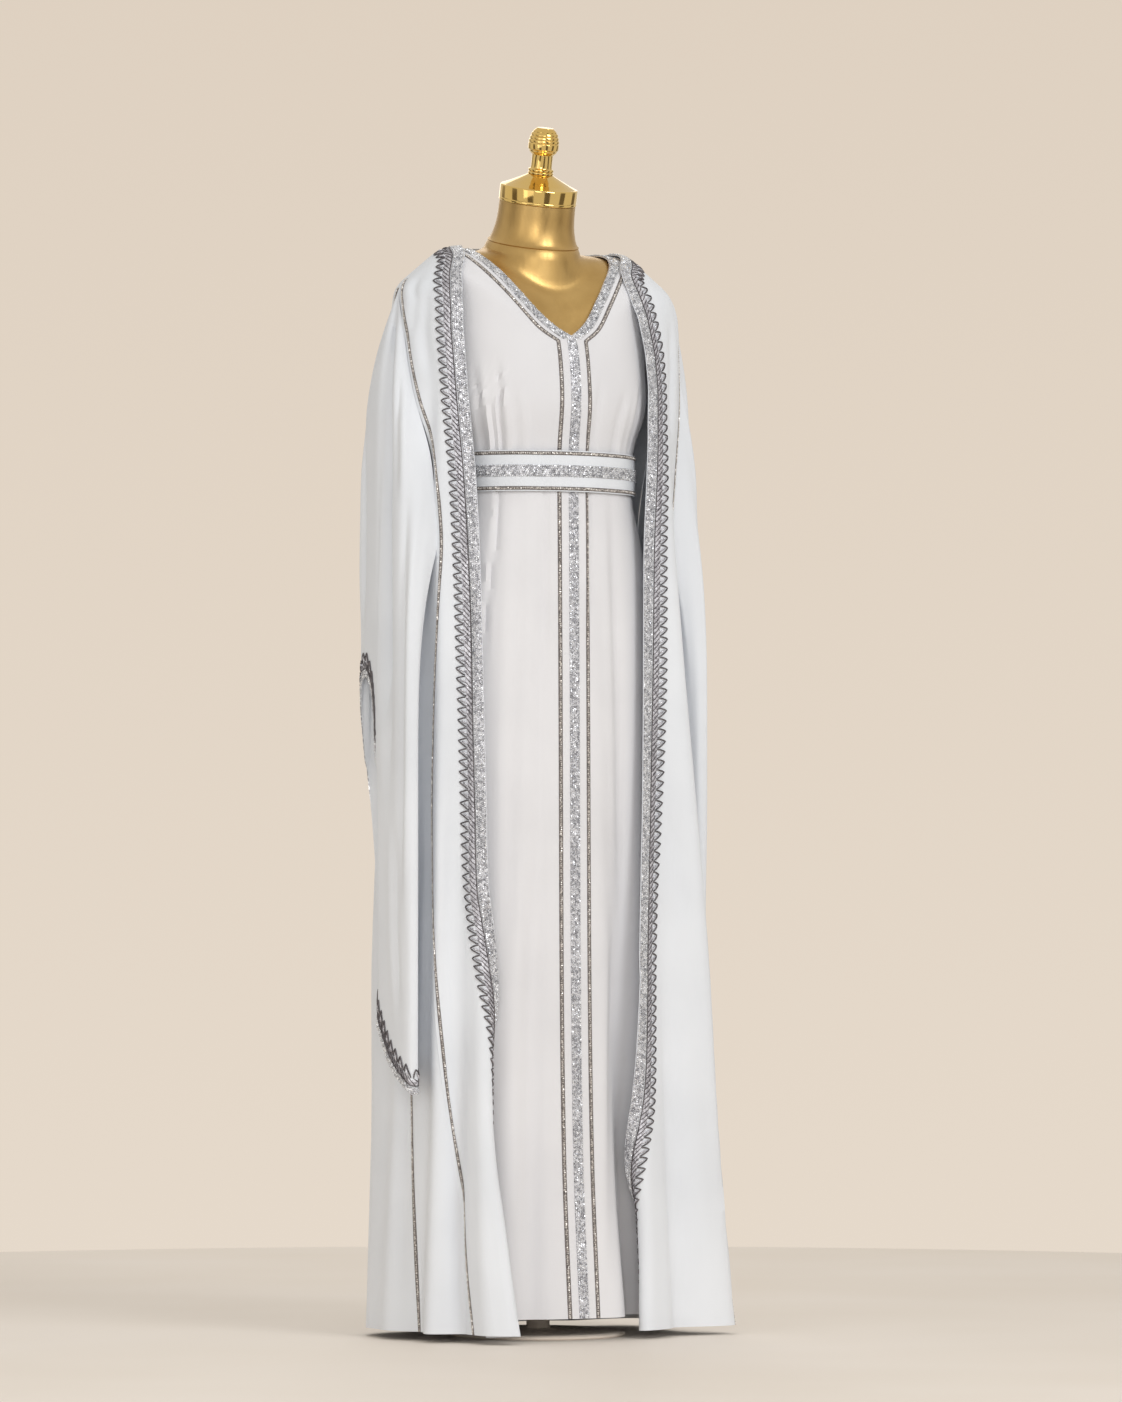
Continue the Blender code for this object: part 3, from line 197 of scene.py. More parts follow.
LEFT_EDGES = (
    Edge("neck", 110.0, 0.107, 0.0, 90.0, 90.0),
    Edge("shoulder", 54.0, 0.120, 0.0, 90.0, 90.0),
    Edge("shoulder tip", 47.5, 0.147, 0.0, 90.0, 90.0),
    Edge("chest", 51.5, 0.149, 0.0, 88.0, 94.0),
    Edge("armhole", 56.5, 0.1535, 0.0, 86.0, 99.0),
    Edge("waist", 53.6, 0.1520, 0.0, 80.0, 107.0),
    Edge("underarm", 50.4, 0.1492, 0.0, 78.0, 110.0),
    Edge("hip", 48.0, 0.1500, 0.0, 78.0, 110.0),
    Edge("thigh", 44.5, 0.1513, 0.0, 78.0, 110.0),
    Edge("knee", 36.5, 0.1550, 0.0, 76.0, 108.0),
    Edge("calf", 32.4, 0.1640, 55.0, 74.0, 106.0),
    Edge("ankle", 32.4, 0.1720, 156.0, 72.0, 104.0),
    Edge("hem", 29.2, 0.1780, 168.0, 70.0, 102.0),
)

ROBE_FOLDS = (
    Fold("right front ridge", -70.0, -68.5, 5.0, 0.014, 0.016, 0.018),
    Fold("right front valley", -64.5, -57.5, 3.5, -0.005, -0.007, -0.008),
    Fold("right lower ridge", -55.0, -44.0, 7.0, 0.000, 0.006, 0.012),
    Fold("right side valley", -82.0, -80.0, 6.0, -0.002, -0.004, -0.014),
    Fold("right side ridge", -98.0, -95.0, 8.0, 0.000, 0.000, 0.008),
    Fold("right back corner", -117.0, -118.0, 14.0, 0.018, 0.034, 0.024),
    Fold("right back valley", -139.0, -140.0, 7.0, -0.006, -0.012, -0.014),
    Fold("right back ridge", -156.0, -157.0, 8.0, 0.004, 0.012, 0.016),
    Fold("centre back valley", 180.0, 178.0, 8.0, -0.004, -0.010, -0.012),
    Fold("left back ridge", 158.0, 155.0, 8.0, 0.004, 0.012, 0.018),
    Fold("left back valley", 140.0, 138.0, 7.0, -0.006, -0.012, -0.014),
    Fold("left back corner", 118.0, 117.0, 13.0, 0.014, 0.026, 0.030),
    Fold("left side valley", 88.0, 92.0, 7.0, 0.000, -0.002, -0.006),
    Fold("left front flare", 63.0, 68.0, 8.0, 0.020, 0.053, 0.066),
    Fold("left front valley", 56.0, 54.0, 5.0, 0.000, -0.004, -0.008),
)

DRESS_CREASES = (
    Crease("right side tuck", ((-62.5, 1.350), (-61.5, 1.282), (-62.0, 1.165)), 0.0038, 0.0042, -1.0),
    Crease("right bust tuck", ((-49.5, 1.350), (-49.5, 1.280), (-50.0, 1.165)), 0.0034, 0.0052, -1.0),
    Crease("small tuck", ((-55.5, 1.325), (-55.0, 1.274), (-56.5, 1.165)), 0.0030, 0.0022),
    Crease("right soft pleat", ((-43.0, 1.311), (-41.5, 1.261), (-41.0, 1.165)), 0.0048, 0.0026),
    Crease("right inner pleat", ((-33.0, 1.294), (-31.0, 1.254), (-30.0, 1.165)), 0.0040, 0.0022),
    Crease("centre pleat", ((-19.5, 1.281), (-18.0, 1.248), (-17.5, 1.165)), 0.0036, 0.0018),
    Crease("left inner pleat", ((21.0, 1.325), (17.0, 1.270), (14.0, 1.165)), 0.0065, 0.0026),
    Crease("left soft pleat", ((43.0, 1.310), (38.0, 1.259), (37.0, 1.165)), 0.0070, 0.0034, -1.0),
    Crease("left side tuck", ((60.0, 1.325), (56.0, 1.268), (56.5, 1.165)), 0.0050, 0.0034),
    Crease("left armhole pull", ((70.0, 1.350), (76.0, 1.280), (74.0, 1.165)), 0.0060, 0.0036),
    Crease("skirt tuck", ((-53.0, 1.205), (-54.0, 1.076), (-58.5, 0.976), (-60.0, 0.880)), 0.0036, 0.0046),
    Crease("skirt soft crease", ((-39.0, 1.205), (-39.5, 1.006), (-42.5, 0.732), (-45.5, 0.400)),
           0.010, 0.0034),
    Crease("skirt short crease", ((-22.0, 1.205), (-22.0, 1.062), (-23.5, 0.900)), 0.0060, 0.0020),
    Crease("skirt left shadow", ((13.5, 1.205), (14.0, 1.106), (14.5, 0.960)), 0.0050, 0.0032),
    Crease("skirt left crease", ((35.0, 1.205), (35.5, 1.067), (39.5, 0.874), (44.0, 0.520)), 0.010, 0.0045),
    Crease("low right crease", ((-30.0, 0.700), (-33.0, 0.325), (-30.5, 0.010)), 0.012, 0.0042),
    Crease("low left crease", ((36.0, 0.600), (27.0, 0.325), (18.0, 0.010)), 0.010, 0.0036),
    Crease("back tuck left", ((128.0, 1.350), (126.0, 1.270), (127.0, 1.165)), 0.0040, 0.0046),
    Crease("back tuck right", ((-131.0, 1.340), (-129.0, 1.270), (-130.0, 1.165)), 0.0040, 0.0044, -1.0),
    Crease("back pleat left", ((148.0, 1.310), (146.0, 1.250), (147.0, 1.165)), 0.0052, 0.0028),
    Crease("back pleat right", ((-152.0, 1.300), (-150.0, 1.250), (-151.0, 1.165)), 0.0052, 0.0028, -1.0),
    Crease("back pleat", ((176.0, 1.320), (173.0, 1.250), (174.0, 1.165)), 0.0060, 0.0024),
    Crease("back skirt left", ((136.0, 1.205), (138.0, 1.000), (134.0, 0.700)), 0.0080, 0.0048),
    Crease("back skirt right", ((-142.0, 1.205), (-140.0, 1.040), (-146.0, 0.760)), 0.0080, 0.0044, -1.0),
    Crease("back skirt centre", ((170.0, 1.205), (172.0, 0.950), (176.0, 0.420)), 0.012, 0.0044),
    Crease("side skirt left", ((96.0, 1.205), (98.0, 0.980), (94.0, 0.700)), 0.0070, 0.0040),
    Crease("side skirt right", ((-92.0, 1.205), (-96.0, 0.980), (-93.0, 0.640)), 0.0070, 0.0040),
    Crease("low back crease", ((-166.0, 0.640), (-160.0, 0.300), (-163.0, 0.010)), 0.012, 0.0050),
)

ROBE_CREASES = (
    Crease("right shoulder pull", ((-84.0, 1.462), (-81.0, 1.419), (-82.5, 1.360)), 0.0055, 0.0042),
    Crease("right chest trough", ((-76.0, 1.450), (-77.0, 1.418), (-78.0, 1.376), (-76.5, 1.300)),
           0.0065, 0.0040),
    Crease("right valley", ((-75.5, 1.380), (-76.0, 1.280), (-77.0, 1.172), (-80.0, 1.062), (-83.0, 0.900)),
           0.0085, 0.0035, -1.0),
    Crease("right front trough", ((-66.0, 0.860), (-65.3, 0.690), (-64.5, 0.465), (-62.5, 0.300), (-57.5, -0.08)),
           0.0080, 0.0075, -1.0),
    Crease("right side trough", ((-84.5, 0.860), (-86.5, 0.620), (-90.0, 0.400), (-88.0, -0.08)),
           0.011, 0.0080),
    Crease("right edge crease", ((-62.0, 1.060), (-60.5, 0.940), (-61.5, 0.820)), 0.0050, 0.0022),
    Crease("right hem crease", ((-50.0, 0.520), (-46.0, 0.300), (-40.0, -0.06)), 0.0085, 0.0042),
    Crease("left shoulder pull", ((84.0, 1.458), (80.0, 1.415), (82.0, 1.350)), 0.0055, 0.0036, -1.0),
    Crease("left chest trough", ((70.0, 1.420), (72.0, 1.340), (70.5, 1.220)), 0.0070, 0.0036, -1.0),
    Crease("left knee crease", ((57.0, 0.720), (58.0, 0.640), (60.0, 0.560)), 0.0050, 0.0030),
    Crease("left long crease", ((59.0, 0.600), (62.0, 0.374), (64.0, 0.199), (65.0, 0.060)), 0.0060, 0.0044),
    Crease("left inner crease", ((55.5, 0.940), (56.5, 0.700), (56.5, 0.460), (54.0, -0.08)),
           0.010, 0.0050, -1.0),
    Crease("left side crease", ((92.0, 0.820), (95.0, 0.500), (90.0, -0.08)), 0.011, 0.0070),
    Crease("back right drape", ((-122.0, 1.380), (-128.0, 1.200), (-131.0, 0.900)), 0.010, 0.0070),
    Crease("back right long", ((-148.0, 1.240), (-146.0, 0.900), (-150.0, 0.400), (-147.0, -0.08)),
           0.011, 0.0072, -1.0),
    Crease("back middle", ((-172.0, 1.350), (-174.0, 1.000), (-169.0, 0.560)), 0.012, 0.0056),
    Crease("back left long", ((168.0, 1.300), (166.0, 0.950), (170.0, 0.500), (167.0, -0.08)),
           0.011, 0.0064, -1.0),
    Crease("back left drape", ((124.0, 1.380), (130.0, 1.180), (134.0, 0.860)), 0.010, 0.0070, -1.0),
    Crease("back left low", ((148.0, 0.800), (150.0, 0.420), (147.0, -0.08)), 0.010, 0.0060),
    Crease("back shoulder pull", ((-112.0, 1.440), (-128.0, 1.390), (-150.0, 1.350)), 0.0070, 0.0034),
    Crease("back left shoulder pull", ((114.0, 1.438), (130.0, 1.385), (149.0, 1.340)), 0.0070, 0.0034),
)

SLEEVE_CREASES = (
    Crease("shoulder dent", ((0.020, 1.420), (0.045, 1.396), (0.060, 1.372)), 0.0045, 0.0034),
    Crease("upper crease", ((-0.030, 1.400), (0.004, 1.372), (0.012, 1.340)), 0.0050, 0.0036),
    Crease("upper pull", ((0.110, 1.360), (0.085, 1.250), (0.095, 1.130)), 0.0075, 0.0044, -1.0),
    Crease("outer trough", ((0.045, 1.320), (0.040, 1.120), (0.050, 0.900), (0.055, 0.680)), 0.0085, 0.0060),
    Crease("front trough", ((0.165, 1.250), (0.150, 1.000), (0.140, 0.760), (0.120, 0.520)),
           0.0085, 0.0052, -1.0),
    Crease("rear trough", ((0.840, 1.280), (0.850, 1.120), (0.845, 0.960)), 0.0080, 0.0052),
    Crease("back crease", ((0.730, 1.220), (0.745, 1.000), (0.740, 0.760)), 0.0080, 0.0050, -1.0),
    Crease("inner crease", ((0.420, 1.000), (0.410, 0.760), (0.400, 0.500)), 0.0080, 0.0044),
    Crease("low crease", ((0.090, 0.720), (0.100, 0.560), (0.130, 0.420)), 0.0060, 0.0036),
)


def angle_between(first: Array, second: Array) -> Array:
    """The signed difference of two angles in degrees, from -180 to 180."""
    return (first - second + 180.0) % 360.0 - 180.0


def unit(vectors: Array) -> Array:
    """The vectors at length one."""
    return vectors / np.maximum(np.linalg.norm(vectors, axis=-1, keepdims=True), 1e-12)


def smooth_step(value: Array) -> Array:
    """Rise from 0 to 1 with a flat start and a flat end: 3v^2 - 2v^3."""
    value = np.clip(value, 0.0, 1.0)
    return value * value * (3 - 2 * value)


def curve_through(knots: Array, values: Array, at: Array) -> Array:
    """Read a smooth curve that never swings past its own values.

    Each column is a cubic from knot to knot, whose slope at a knot is the harmonic
    mean of the slopes on both sides, or none where the column turns back.

    Args:
        knots: The rising places where the values stand.
        values: One row for each knot.
        at: The places to read.

    Returns:
        One row for each place.
    """
    steps = np.diff(knots)[:, None]
    slopes = np.diff(values, axis=0) / steps
    tangents = np.zeros_like(values)
    tangents[0], tangents[-1] = slopes[0], slopes[-1]
    same = slopes[:-1] * slopes[1:] > 0
    total = np.where(same, slopes[:-1] + slopes[1:], 1.0)
    tangents[1:-1] = np.where(same, 2 * slopes[:-1] * slopes[1:] / total, 0.0)
    at = np.clip(at, knots[0], knots[-1])
    row = np.clip(np.searchsorted(knots, at, side="right") - 1, 0, len(knots) - 2)
    width = (knots[row + 1] - knots[row])[:, None]
    part = (at - knots[row])[:, None] / width
    return (
        values[row] * (1 + 2 * part) * (1 - part) ** 2
        + tangents[row] * width * part * (1 - part) ** 2
        + values[row + 1] * part**2 * (3 - 2 * part)
        - tangents[row + 1] * width * part**2 * (1 - part)
    )


def straight_through(knots: Array, values: Array, at: Array) -> Array:
    """Read each column of some values on straight lines from knot to knot."""
    return np.stack([np.interp(at, knots, column) for column in values.T], axis=-1)


def read_between(values: Array, at: Array, axis: int = 0) -> Array:
    """Read a grid at places between its rows, or on axis 1 between its columns."""
    low = np.clip(at.astype(int), 0, values.shape[axis] - 2)
    part = (at - low).reshape(-1, *[1] * (values.ndim - 1 - axis))
    return np.take(values, low, axis) * (1 - part) + np.take(values, low + 1, axis) * part


def softened(values: Array, width: int) -> Array:
    """Round the corners of evenly spaced rows with a bell-shaped average.

    Args:
        values: The rows, one column for each quantity.
        width: The bell's half width in rows.

    Returns:
        The averaged rows; both ends keep their places.
    """
    reach = 3 * width
    steps = np.arange(-reach, reach + 1)
    bell = np.exp(-0.5 * (steps / width) ** 2)
    bell = bell / bell.sum()
    before = 2 * values[:1] - values[1 : reach + 1][::-1]
    after = 2 * values[-1:] - values[-reach - 1 : -1][::-1]
    padded = np.concatenate([before, values, after])
    return np.stack([np.convolve(column, bell, mode="valid") for column in padded.T], axis=-1)


class Layer:
    """A cloth layer, as a surface over the angle round it and the level down it."""

    STEP = 0.01
    ROUNDING = 14
    FOLD_TOP_Z = 1.40
    FOLD_WAIST_Z = 1.10
    FOLD_KNEE_Z = 0.50
    EDGE_PULL_SPREAD = 16.0
    EDGE_PULL_FROM = 1.5
    TOP_Z = 1.6
    HEIGHT_ROWS = 321
    FOLD_ROUNDING = 8
    DIFFERENCE = 0.02
    CREASE_REACH = 4
    CREASE_FADE = 0.3
    RIDGE_SIZE = 0.55
    RIDGE_ASIDE = 1.7
    RIDGE_SPREAD = 1.1

    def __init__(
        self,
        rings: tuple[Ring, ...],
        folds: tuple[Fold, ...],
        creases: tuple[Crease, ...] = (),
        edges: tuple[tuple[Edge, ...], ...] = (),
        creased_radius: float = 0.17,
    ) -> None:
        """Read the tables and sample them finely.

        Args:
            rings: The layer's levels, from the neck down.
            folds: The lengthwise folds.
            creases: The finer creases.
            edges: The right and the left edges of an open robe.
            creased_radius: The radius that turns an angle into a width for creases.
        """
        self.last = len(rings) - 1
        self.folds = folds
        self.creases = creases
        self.creased_radius = creased_radius
        self.levels = np.linspace(0, self.last, round(self.last / self.STEP) + 1)
        self.columns = self.sampled([ring.sizes() for ring in rings])
        self.edges = [self.sampled([edge.sizes() for edge in side]) for side in edges]
        self.heights = np.linspace(0.0, self.TOP_Z, self.HEIGHT_ROWS)
        self.fold_tables = [self.fold_table(fold) for fold in folds]

    def sampled(self, rows: list[list[float]]) -> Array:
        """A table read finely: straight over the shoulders and curved below."""
        knots = np.arange(len(rows), dtype=float)
        values = np.array(rows)
        curved = curve_through(knots, values, self.levels)
        straight = straight_through(knots, values, self.levels)
        high = (self.levels < TIP_LEVEL)[:, None]
        return softened(np.where(high, straight, curved), self.ROUNDING)

    def fold_table(self, fold: Fold) -> Array:
        """A fold's centre and size at each sampled height."""
        run = np.clip((self.FOLD_WAIST_Z - self.heights) / self.FOLD_WAIST_Z, 0, 1)
        share = np.clip(
            (self.FOLD_TOP_Z - self.heights) / (self.FOLD_TOP_Z - self.FOLD_WAIST_Z), 0, 1
        )
        sizes = (fold.hem_depth, fold.knee_depth, fold.waist_depth)
        size = np.interp(self.heights, (0.0, self.FOLD_KNEE_Z, self.FOLD_WAIST_Z), sizes)
        centre = fold.waist_angle + (fold.hem_angle - fold.waist_angle) * run
        return softened(np.stack([centre, size * share], axis=-1), self.FOLD_ROUNDING)

    def read(self, table: Array, level: Array) -> list[Array]:
        """The columns of a sampled table at some levels."""
        return [np.interp(level, self.levels, column) for column in table.T]

    def edge(self, side: Side, level: Array) -> list[Array]:
        """(edge angle, reach, turned, front seam, back seam) of one robe side."""
        return self.read(self.edges[side.number], level)

    def fold_depth(self, angle: Array, z: Array) -> Array:
        """How far the folds move the cloth out: a bell across each fold."""
        depth = np.zeros(np.broadcast(angle, z).shape)
        for fold, table in zip(self.folds, self.fold_tables):
            centre = np.interp(z, self.heights, table[:, 0])
            size = np.interp(z, self.heights, table[:, 1])
            depth = depth + size * np.exp(-((angle_between(angle, centre) / fold.spread) ** 2))
        return depth

    def point(self, angle: Array, level: Array) -> Array:
        """The surface's points, without any turned edge or crease.

        Args:
            angle: The places round the layer, in degrees.
            level: The places down it.

        Returns:
            The points, with their coordinates last.
        """
        angle, level = np.broadcast_arrays(np.asarray(angle, float), level)
        side_z, front_z, back_z, half_width, front, back, centre_y = self.read(
            self.columns, level
        )
        across, ahead = np.sin(np.radians(angle)), np.cos(np.radians(angle))
        depth = np.where(ahead > 0, front, back)
        low_z = np.where(ahead > 0, front_z, back_z)
        z = side_z * across**2 + low_z * ahead**2
        radius = 1 / np.sqrt((across / half_width) ** 2 + (ahead / depth) ** 2)
        for side in list(Side)[: len(self.edges)]:
            start, reach, _, _, _ = self.edge(side, level)
            turn = np.radians(start)
            oval = 1 / np.sqrt((np.sin(turn) / half_width) ** 2 + (np.cos(turn) / front) ** 2)
            near = np.exp(-((angle_between(angle, start) / self.EDGE_PULL_SPREAD) ** 2))
            shoulder = np.clip(level - self.EDGE_PULL_FROM, 0, 1)
            radius = radius + (reach - oval - self.fold_depth(start, z)) * near * shoulder
        radius = radius + self.fold_depth(angle, z)
        return np.stack([radius * across, centre_y - radius * ahead, z], axis=-1)

    def gradients(self, angle: Array, level: Array) -> tuple[Array, Array]:
        """The change of the point for each degree, and for each level."""
        step = self.DIFFERENCE
        high = np.minimum(level + step, self.last)
        low = np.maximum(level - step, 0.0)
        by_angle = (self.point(angle + step, level) - self.point(angle - step, level)) / (2 * step)
        by_level = (self.point(angle, high) - self.point(angle, low)) / (high - low)[..., None]
        return by_angle, by_level

    def normal(self, angle: Array, level: Array) -> Array:
        """Unit normals pointing out of the layer."""
        by_angle, by_level = self.gradients(angle, level)
        return unit(np.cross(by_level, by_angle))

    def crease_depth(self, angle: Array, z: Array) -> Array:
        """How far the creases move the cloth out.

        A crease is a bell-shaped trough by the distance from its line, with a wider
        and lower ridge beside it, and both fade towards the line's ends.

        Args:
            angle: The places round the layer, in degrees.
            z: Their heights.

        Returns:
            The depths, in metres.
        """
        depth = np.zeros(angle.shape)
        for crease in self.creases:
            line = np.array(crease.line, float)
            base = line[:, 0].mean()
            degree = np.radians(1.0) * self.creased_radius
            u = angle_between(angle, base) * degree
            knots = np.stack([(line[:, 0] - base) * degree, line[:, 1]], axis=-1)
            low = knots.min(axis=0) - self.CREASE_REACH * crease.width
            high = knots.max(axis=0) + self.CREASE_REACH * crease.width
            near = (u > low[0]) & (u < high[0]) & (z > low[1]) & (z < high[1])
            if near.any():
                depth[near] += self.crease_shape(crease, knots, u[near], z[near])
        return depth

    @classmethod
    def crease_shape(cls, crease: Crease, knots: Array, u: Array, z: Array) -> Array:
        """One crease's depth at places given by their width and height."""
        best = np.full(u.shape, np.inf)
        signed, run = np.zeros(u.shape), np.zeros(u.shape)
        lengths = np.linalg.norm(np.diff(knots, axis=0), axis=1)
        starts = np.concatenate([[0.0], np.cumsum(lengths)])
        for first, last, start, length in zip(knots[:-1], knots[1:], starts, lengths):
            way = (last - first) / length
            along = (u - first[0]) * way[0] + (z - first[1]) * way[1]
            aside = (u - first[0]) * way[1] - (z - first[1]) * way[0]
            inside = np.clip(along, 0.0, length)
            distance = np.hypot(aside, along - inside)
            closer = distance < best
            best = np.where(closer, distance, best)
            signed = np.where(closer, np.copysign(distance, aside), signed)
            run = np.where(closer, start + inside, run)
        share = run / starts[-1]
        fade = smooth_step(share / cls.CREASE_FADE) * smooth_step((1 - share) / cls.CREASE_FADE)
        offset = signed * crease.lean
        trough = np.exp(-((offset / crease.width) ** 2))
        beside = offset - cls.RIDGE_ASIDE * crease.width
        ridge = cls.RIDGE_SIZE * np.exp(-((beside / (cls.RIDGE_SPREAD * crease.width)) ** 2))
        return -crease.depth * fade * (trough - ridge)


SHIFT_STEP = 0.006
SHARPEST_BEND = 0.5
LEAST_ALONG_SEAM = 0.8


def shifted(
    layer: Layer,
    path: Array,
    distance: float,
    toward: int,
    seam_start: bool = False,
    level_end: bool = False,
) -> Array:
    """Move a path over its layer sideways, a few millimetres at a time.

    Args:
        layer: The layer that the path lies on.
        path: Its (angle, level) places.
        distance: How far to move, in metres.
        toward: 1 for the wearer's left and -1 for the right.
        seam_start: Keep the first place on its shoulder seam.
        level_end: Keep the last place on its level.

    Returns:
        The moved places.
    """
    path = np.array(path, float)
    parts = max(1, math.ceil(abs(distance) / SHIFT_STEP))
    for _ in range(parts):
        points = layer.point(path[:, 0], path[:, 1])
        normals = layer.normal(path[:, 0], path[:, 1])
        ahead = unit(np.diff(points, axis=0))
        after = np.concatenate([ahead, ahead[-1:]])
        before = np.concatenate([ahead[:1], ahead])
        tangents = unit(after + before)
        stretch = 1 / np.maximum((tangents * after).sum(-1), SHARPEST_BEND)
        aside = unit(np.cross(tangents, normals)) * -toward
        by_angle, by_level = layer.gradients(path[:, 0], path[:, 1])
        aa = (by_angle * by_angle).sum(-1)
        ll = (by_level * by_level).sum(-1)
        al = (by_angle * by_level).sum(-1)
        want = aside * (distance / parts * stretch)[:, None]
        wa, wl = (want * by_angle).sum(-1), (want * by_level).sum(-1)
        whole = aa * ll - al * al
        turn = (wa * ll - wl * al) / whole
        drop = (wl * aa - wa * al) / whole
        if seam_start:
            turn[0] = 0.0
            least = LEAST_ALONG_SEAM * np.linalg.norm(by_level[0])
            drop[0] = distance / parts / max(abs(by_level[0] @ aside[0]), least)
        if level_end:
            drop[-1] = 0.0
            turn[-1] = toward * distance / parts / abs((by_angle[-1] * aside[-1]).sum())
        path = path + np.stack([turn, drop], axis=-1)
        path[:, 1] = np.clip(path[:, 1], 0.0, layer.last)
    return path


def filled_between(first: Array, last: Array, spans: int) -> list[Array]:
    """Evenly spaced paths after the first one, up to the last."""
    return [first + (last - first) * k / spans for k in range(1, spans + 1)]


def grid_normals(points: Array, like: Array | None = None, ring: bool = False) -> Array:
    """Unit normals of a grid of points, turned to the side that like points to."""
    if ring:
        down = np.roll(points, -1, axis=0) - np.roll(points, 1, axis=0)
    else:
        down = np.gradient(points, axis=0)
    normals = unit(np.cross(down, np.gradient(points, axis=1)))
    if like is not None and (normals * like).sum() < 0:
        normals = -normals
    return normals


def run_lengths(points: Array) -> Array:
    """Running lengths along the first axis of some lines of points."""
    steps = np.linalg.norm(np.diff(points, axis=0), axis=-1)
    return np.concatenate([np.zeros_like(steps[:1]), np.cumsum(steps, axis=0)])


@dataclass
class Panel:
    """A grid of cloth points whose rows and columns carry control numbers."""

    points: Array
    normals: Array
    rows: Array
    columns: Array
    ring: bool = False

    def cut(self, rows: Array | None, columns: Array) -> "Panel":
        """The piece of the panel over some control rows and columns.

        Args:
            rows: Control row numbers, one for each row of the piece, or None for all.
            columns: Control column numbers, one for each column of the piece.

        Returns:
            A panel whose points are read between the grid's own.
        """
        both = np.concatenate([self.points, self.normals], axis=-1)
        if rows is not None:
            both = read_between(both, np.interp(rows, self.rows, np.arange(len(self.rows))))
        at = np.interp(columns, self.columns, np.arange(len(self.columns)))
        both = read_between(both, at, axis=1)
        kept = self.rows if rows is None else np.asarray(rows)
        ring = self.ring and rows is None
        return Panel(both[..., :3], unit(both[..., 3:]), kept, np.asarray(columns), ring)

    def turned(self) -> "Panel":
        """The panel with its rows and columns changed over."""
        points, normals = self.points.swapaxes(0, 1), self.normals.swapaxes(0, 1)
        return Panel(points, normals, self.columns, self.rows)

    def closed(self) -> "Panel":
        """The panel with its first row again at its end, where it is a ring."""
        if not self.ring:
            return self
        points = np.concatenate([self.points, self.points[:1]])
        normals = np.concatenate([self.normals, self.normals[:1]])
        return Panel(points, normals, np.arange(float(len(points))), self.columns)

    def flat_size(self) -> tuple[float, float, float]:
        """The longest width, the longest length and the area of the flat cut."""
        closed = self.closed().points
        if self.ring:
            width = run_lengths(closed[..., :2])[-1].max()
            length = np.ptp(closed[..., 2])
        else:
            width = run_lengths(closed.swapaxes(0, 1))[-1].max()
            length = run_lengths(closed)[-1].max()
        down = closed[1:, :-1] - closed[:-1, :-1]
        along = closed[:-1, 1:] - closed[:-1, :-1]
        area = np.linalg.norm(np.cross(down, along), axis=-1).sum()
        return float(width), float(length), float(area)

    def cloth_map(self) -> Array:
        """Each point's distance across and down the cloth, in metres."""
        down = run_lengths(self.points)
        across = run_lengths(self.points.swapaxes(0, 1)).swapaxes(0, 1)
        return np.stack([across, down], axis=-1)


def chained(*panels: Panel) -> Panel:
    """Panels with as many columns each, one behind the other."""
    points = np.concatenate([panel.points for panel in panels])
    normals = np.concatenate([panel.normals for panel in panels])
    return Panel(points, normals, np.arange(float(len(points))), panels[0].columns)


@dataclass
class Net:
    """A coarse net of (angle, level) places, as the solid's own corners."""

    layer: Layer
    grid: Array
    straight_columns: int = 0

    @staticmethod
    def spaced(run: Array, step: float) -> Array:
        """Control numbers at even steps along a running length."""
        places = np.linspace(0, run[-1], max(4, round(run[-1] / step)))
        return np.interp(places, run, np.arange(len(run)))

    def refined(self, step: float, turns: Array | None = None) -> Panel:
        """Read the net finely, and add the turned edge and the creases.

        Args:
            step: The wanted spacing of the fine grid, in metres.
            turns: How far each row is turned under at its first column, in radians.

        Returns:
            The cloth panel.
        """
        count, wide = self.grid.shape[:2]
        corners = self.layer.point(self.grid[..., 0], self.grid[..., 1])
        rows = self.spaced(run_lengths(corners).mean(axis=1), step)
        columns = self.spaced(run_lengths(corners.swapaxes(0, 1)).mean(axis=1), step)
        knots = np.arange(count, dtype=float)
        flat = self.grid.reshape(count, -1)
        curved = curve_through(knots, flat, rows).reshape(len(rows), wide, 2)
        straight = straight_through(knots, flat, rows).reshape(len(rows), wide, 2)
        curved[:, : self.straight_columns] = straight[:, : self.straight_columns]
        fine = read_between(curved, columns, axis=1)
        angle, level = fine[..., 0], fine[..., 1]
        points = self.layer.point(angle, level)
        outward = self.layer.normal(angle, level)
        depth = self.layer.crease_depth(angle, points[..., 2])
        points = points + outward * depth[..., None]
        normals = grid_normals(points, outward)
        if turns is not None:
            fine_turns = curve_through(knots, turns[:, None], rows)[:, 0]
            points = turned_under(points, normals, fine_turns)
            normals = grid_normals(points)
            middle = wide // 2 * len(columns) // wide
            if (normals[:, middle:] * outward[:, middle:]).sum() < 0:
                normals = -normals
        return Panel(points, normals, rows, columns)


TURN_LEAST_REACH = 0.030
TURN_MORE_REACH = 0.0044
TURN_ARC = 0.028
FULL_TURN_FROM = 4.0


def turn_reach(turn: Array) -> Array:
    """How far in from its edge the cloth starts to turn, for some whole turn."""
    return TURN_LEAST_REACH + TURN_MORE_REACH * turn**2


def turned_width(turns: Array) -> Array:
    """How much of the cloth lies beyond the visible edge once it is turned under."""
    turns = np.maximum(turns, 1e-6)
    front_turn = np.minimum(turns, math.pi / 2)
    visible = TURN_ARC / turns * np.sin(front_turn)
    visible = visible + (turn_reach(turns) - TURN_ARC) * np.cos(front_turn)
    return turn_reach(turns) - visible


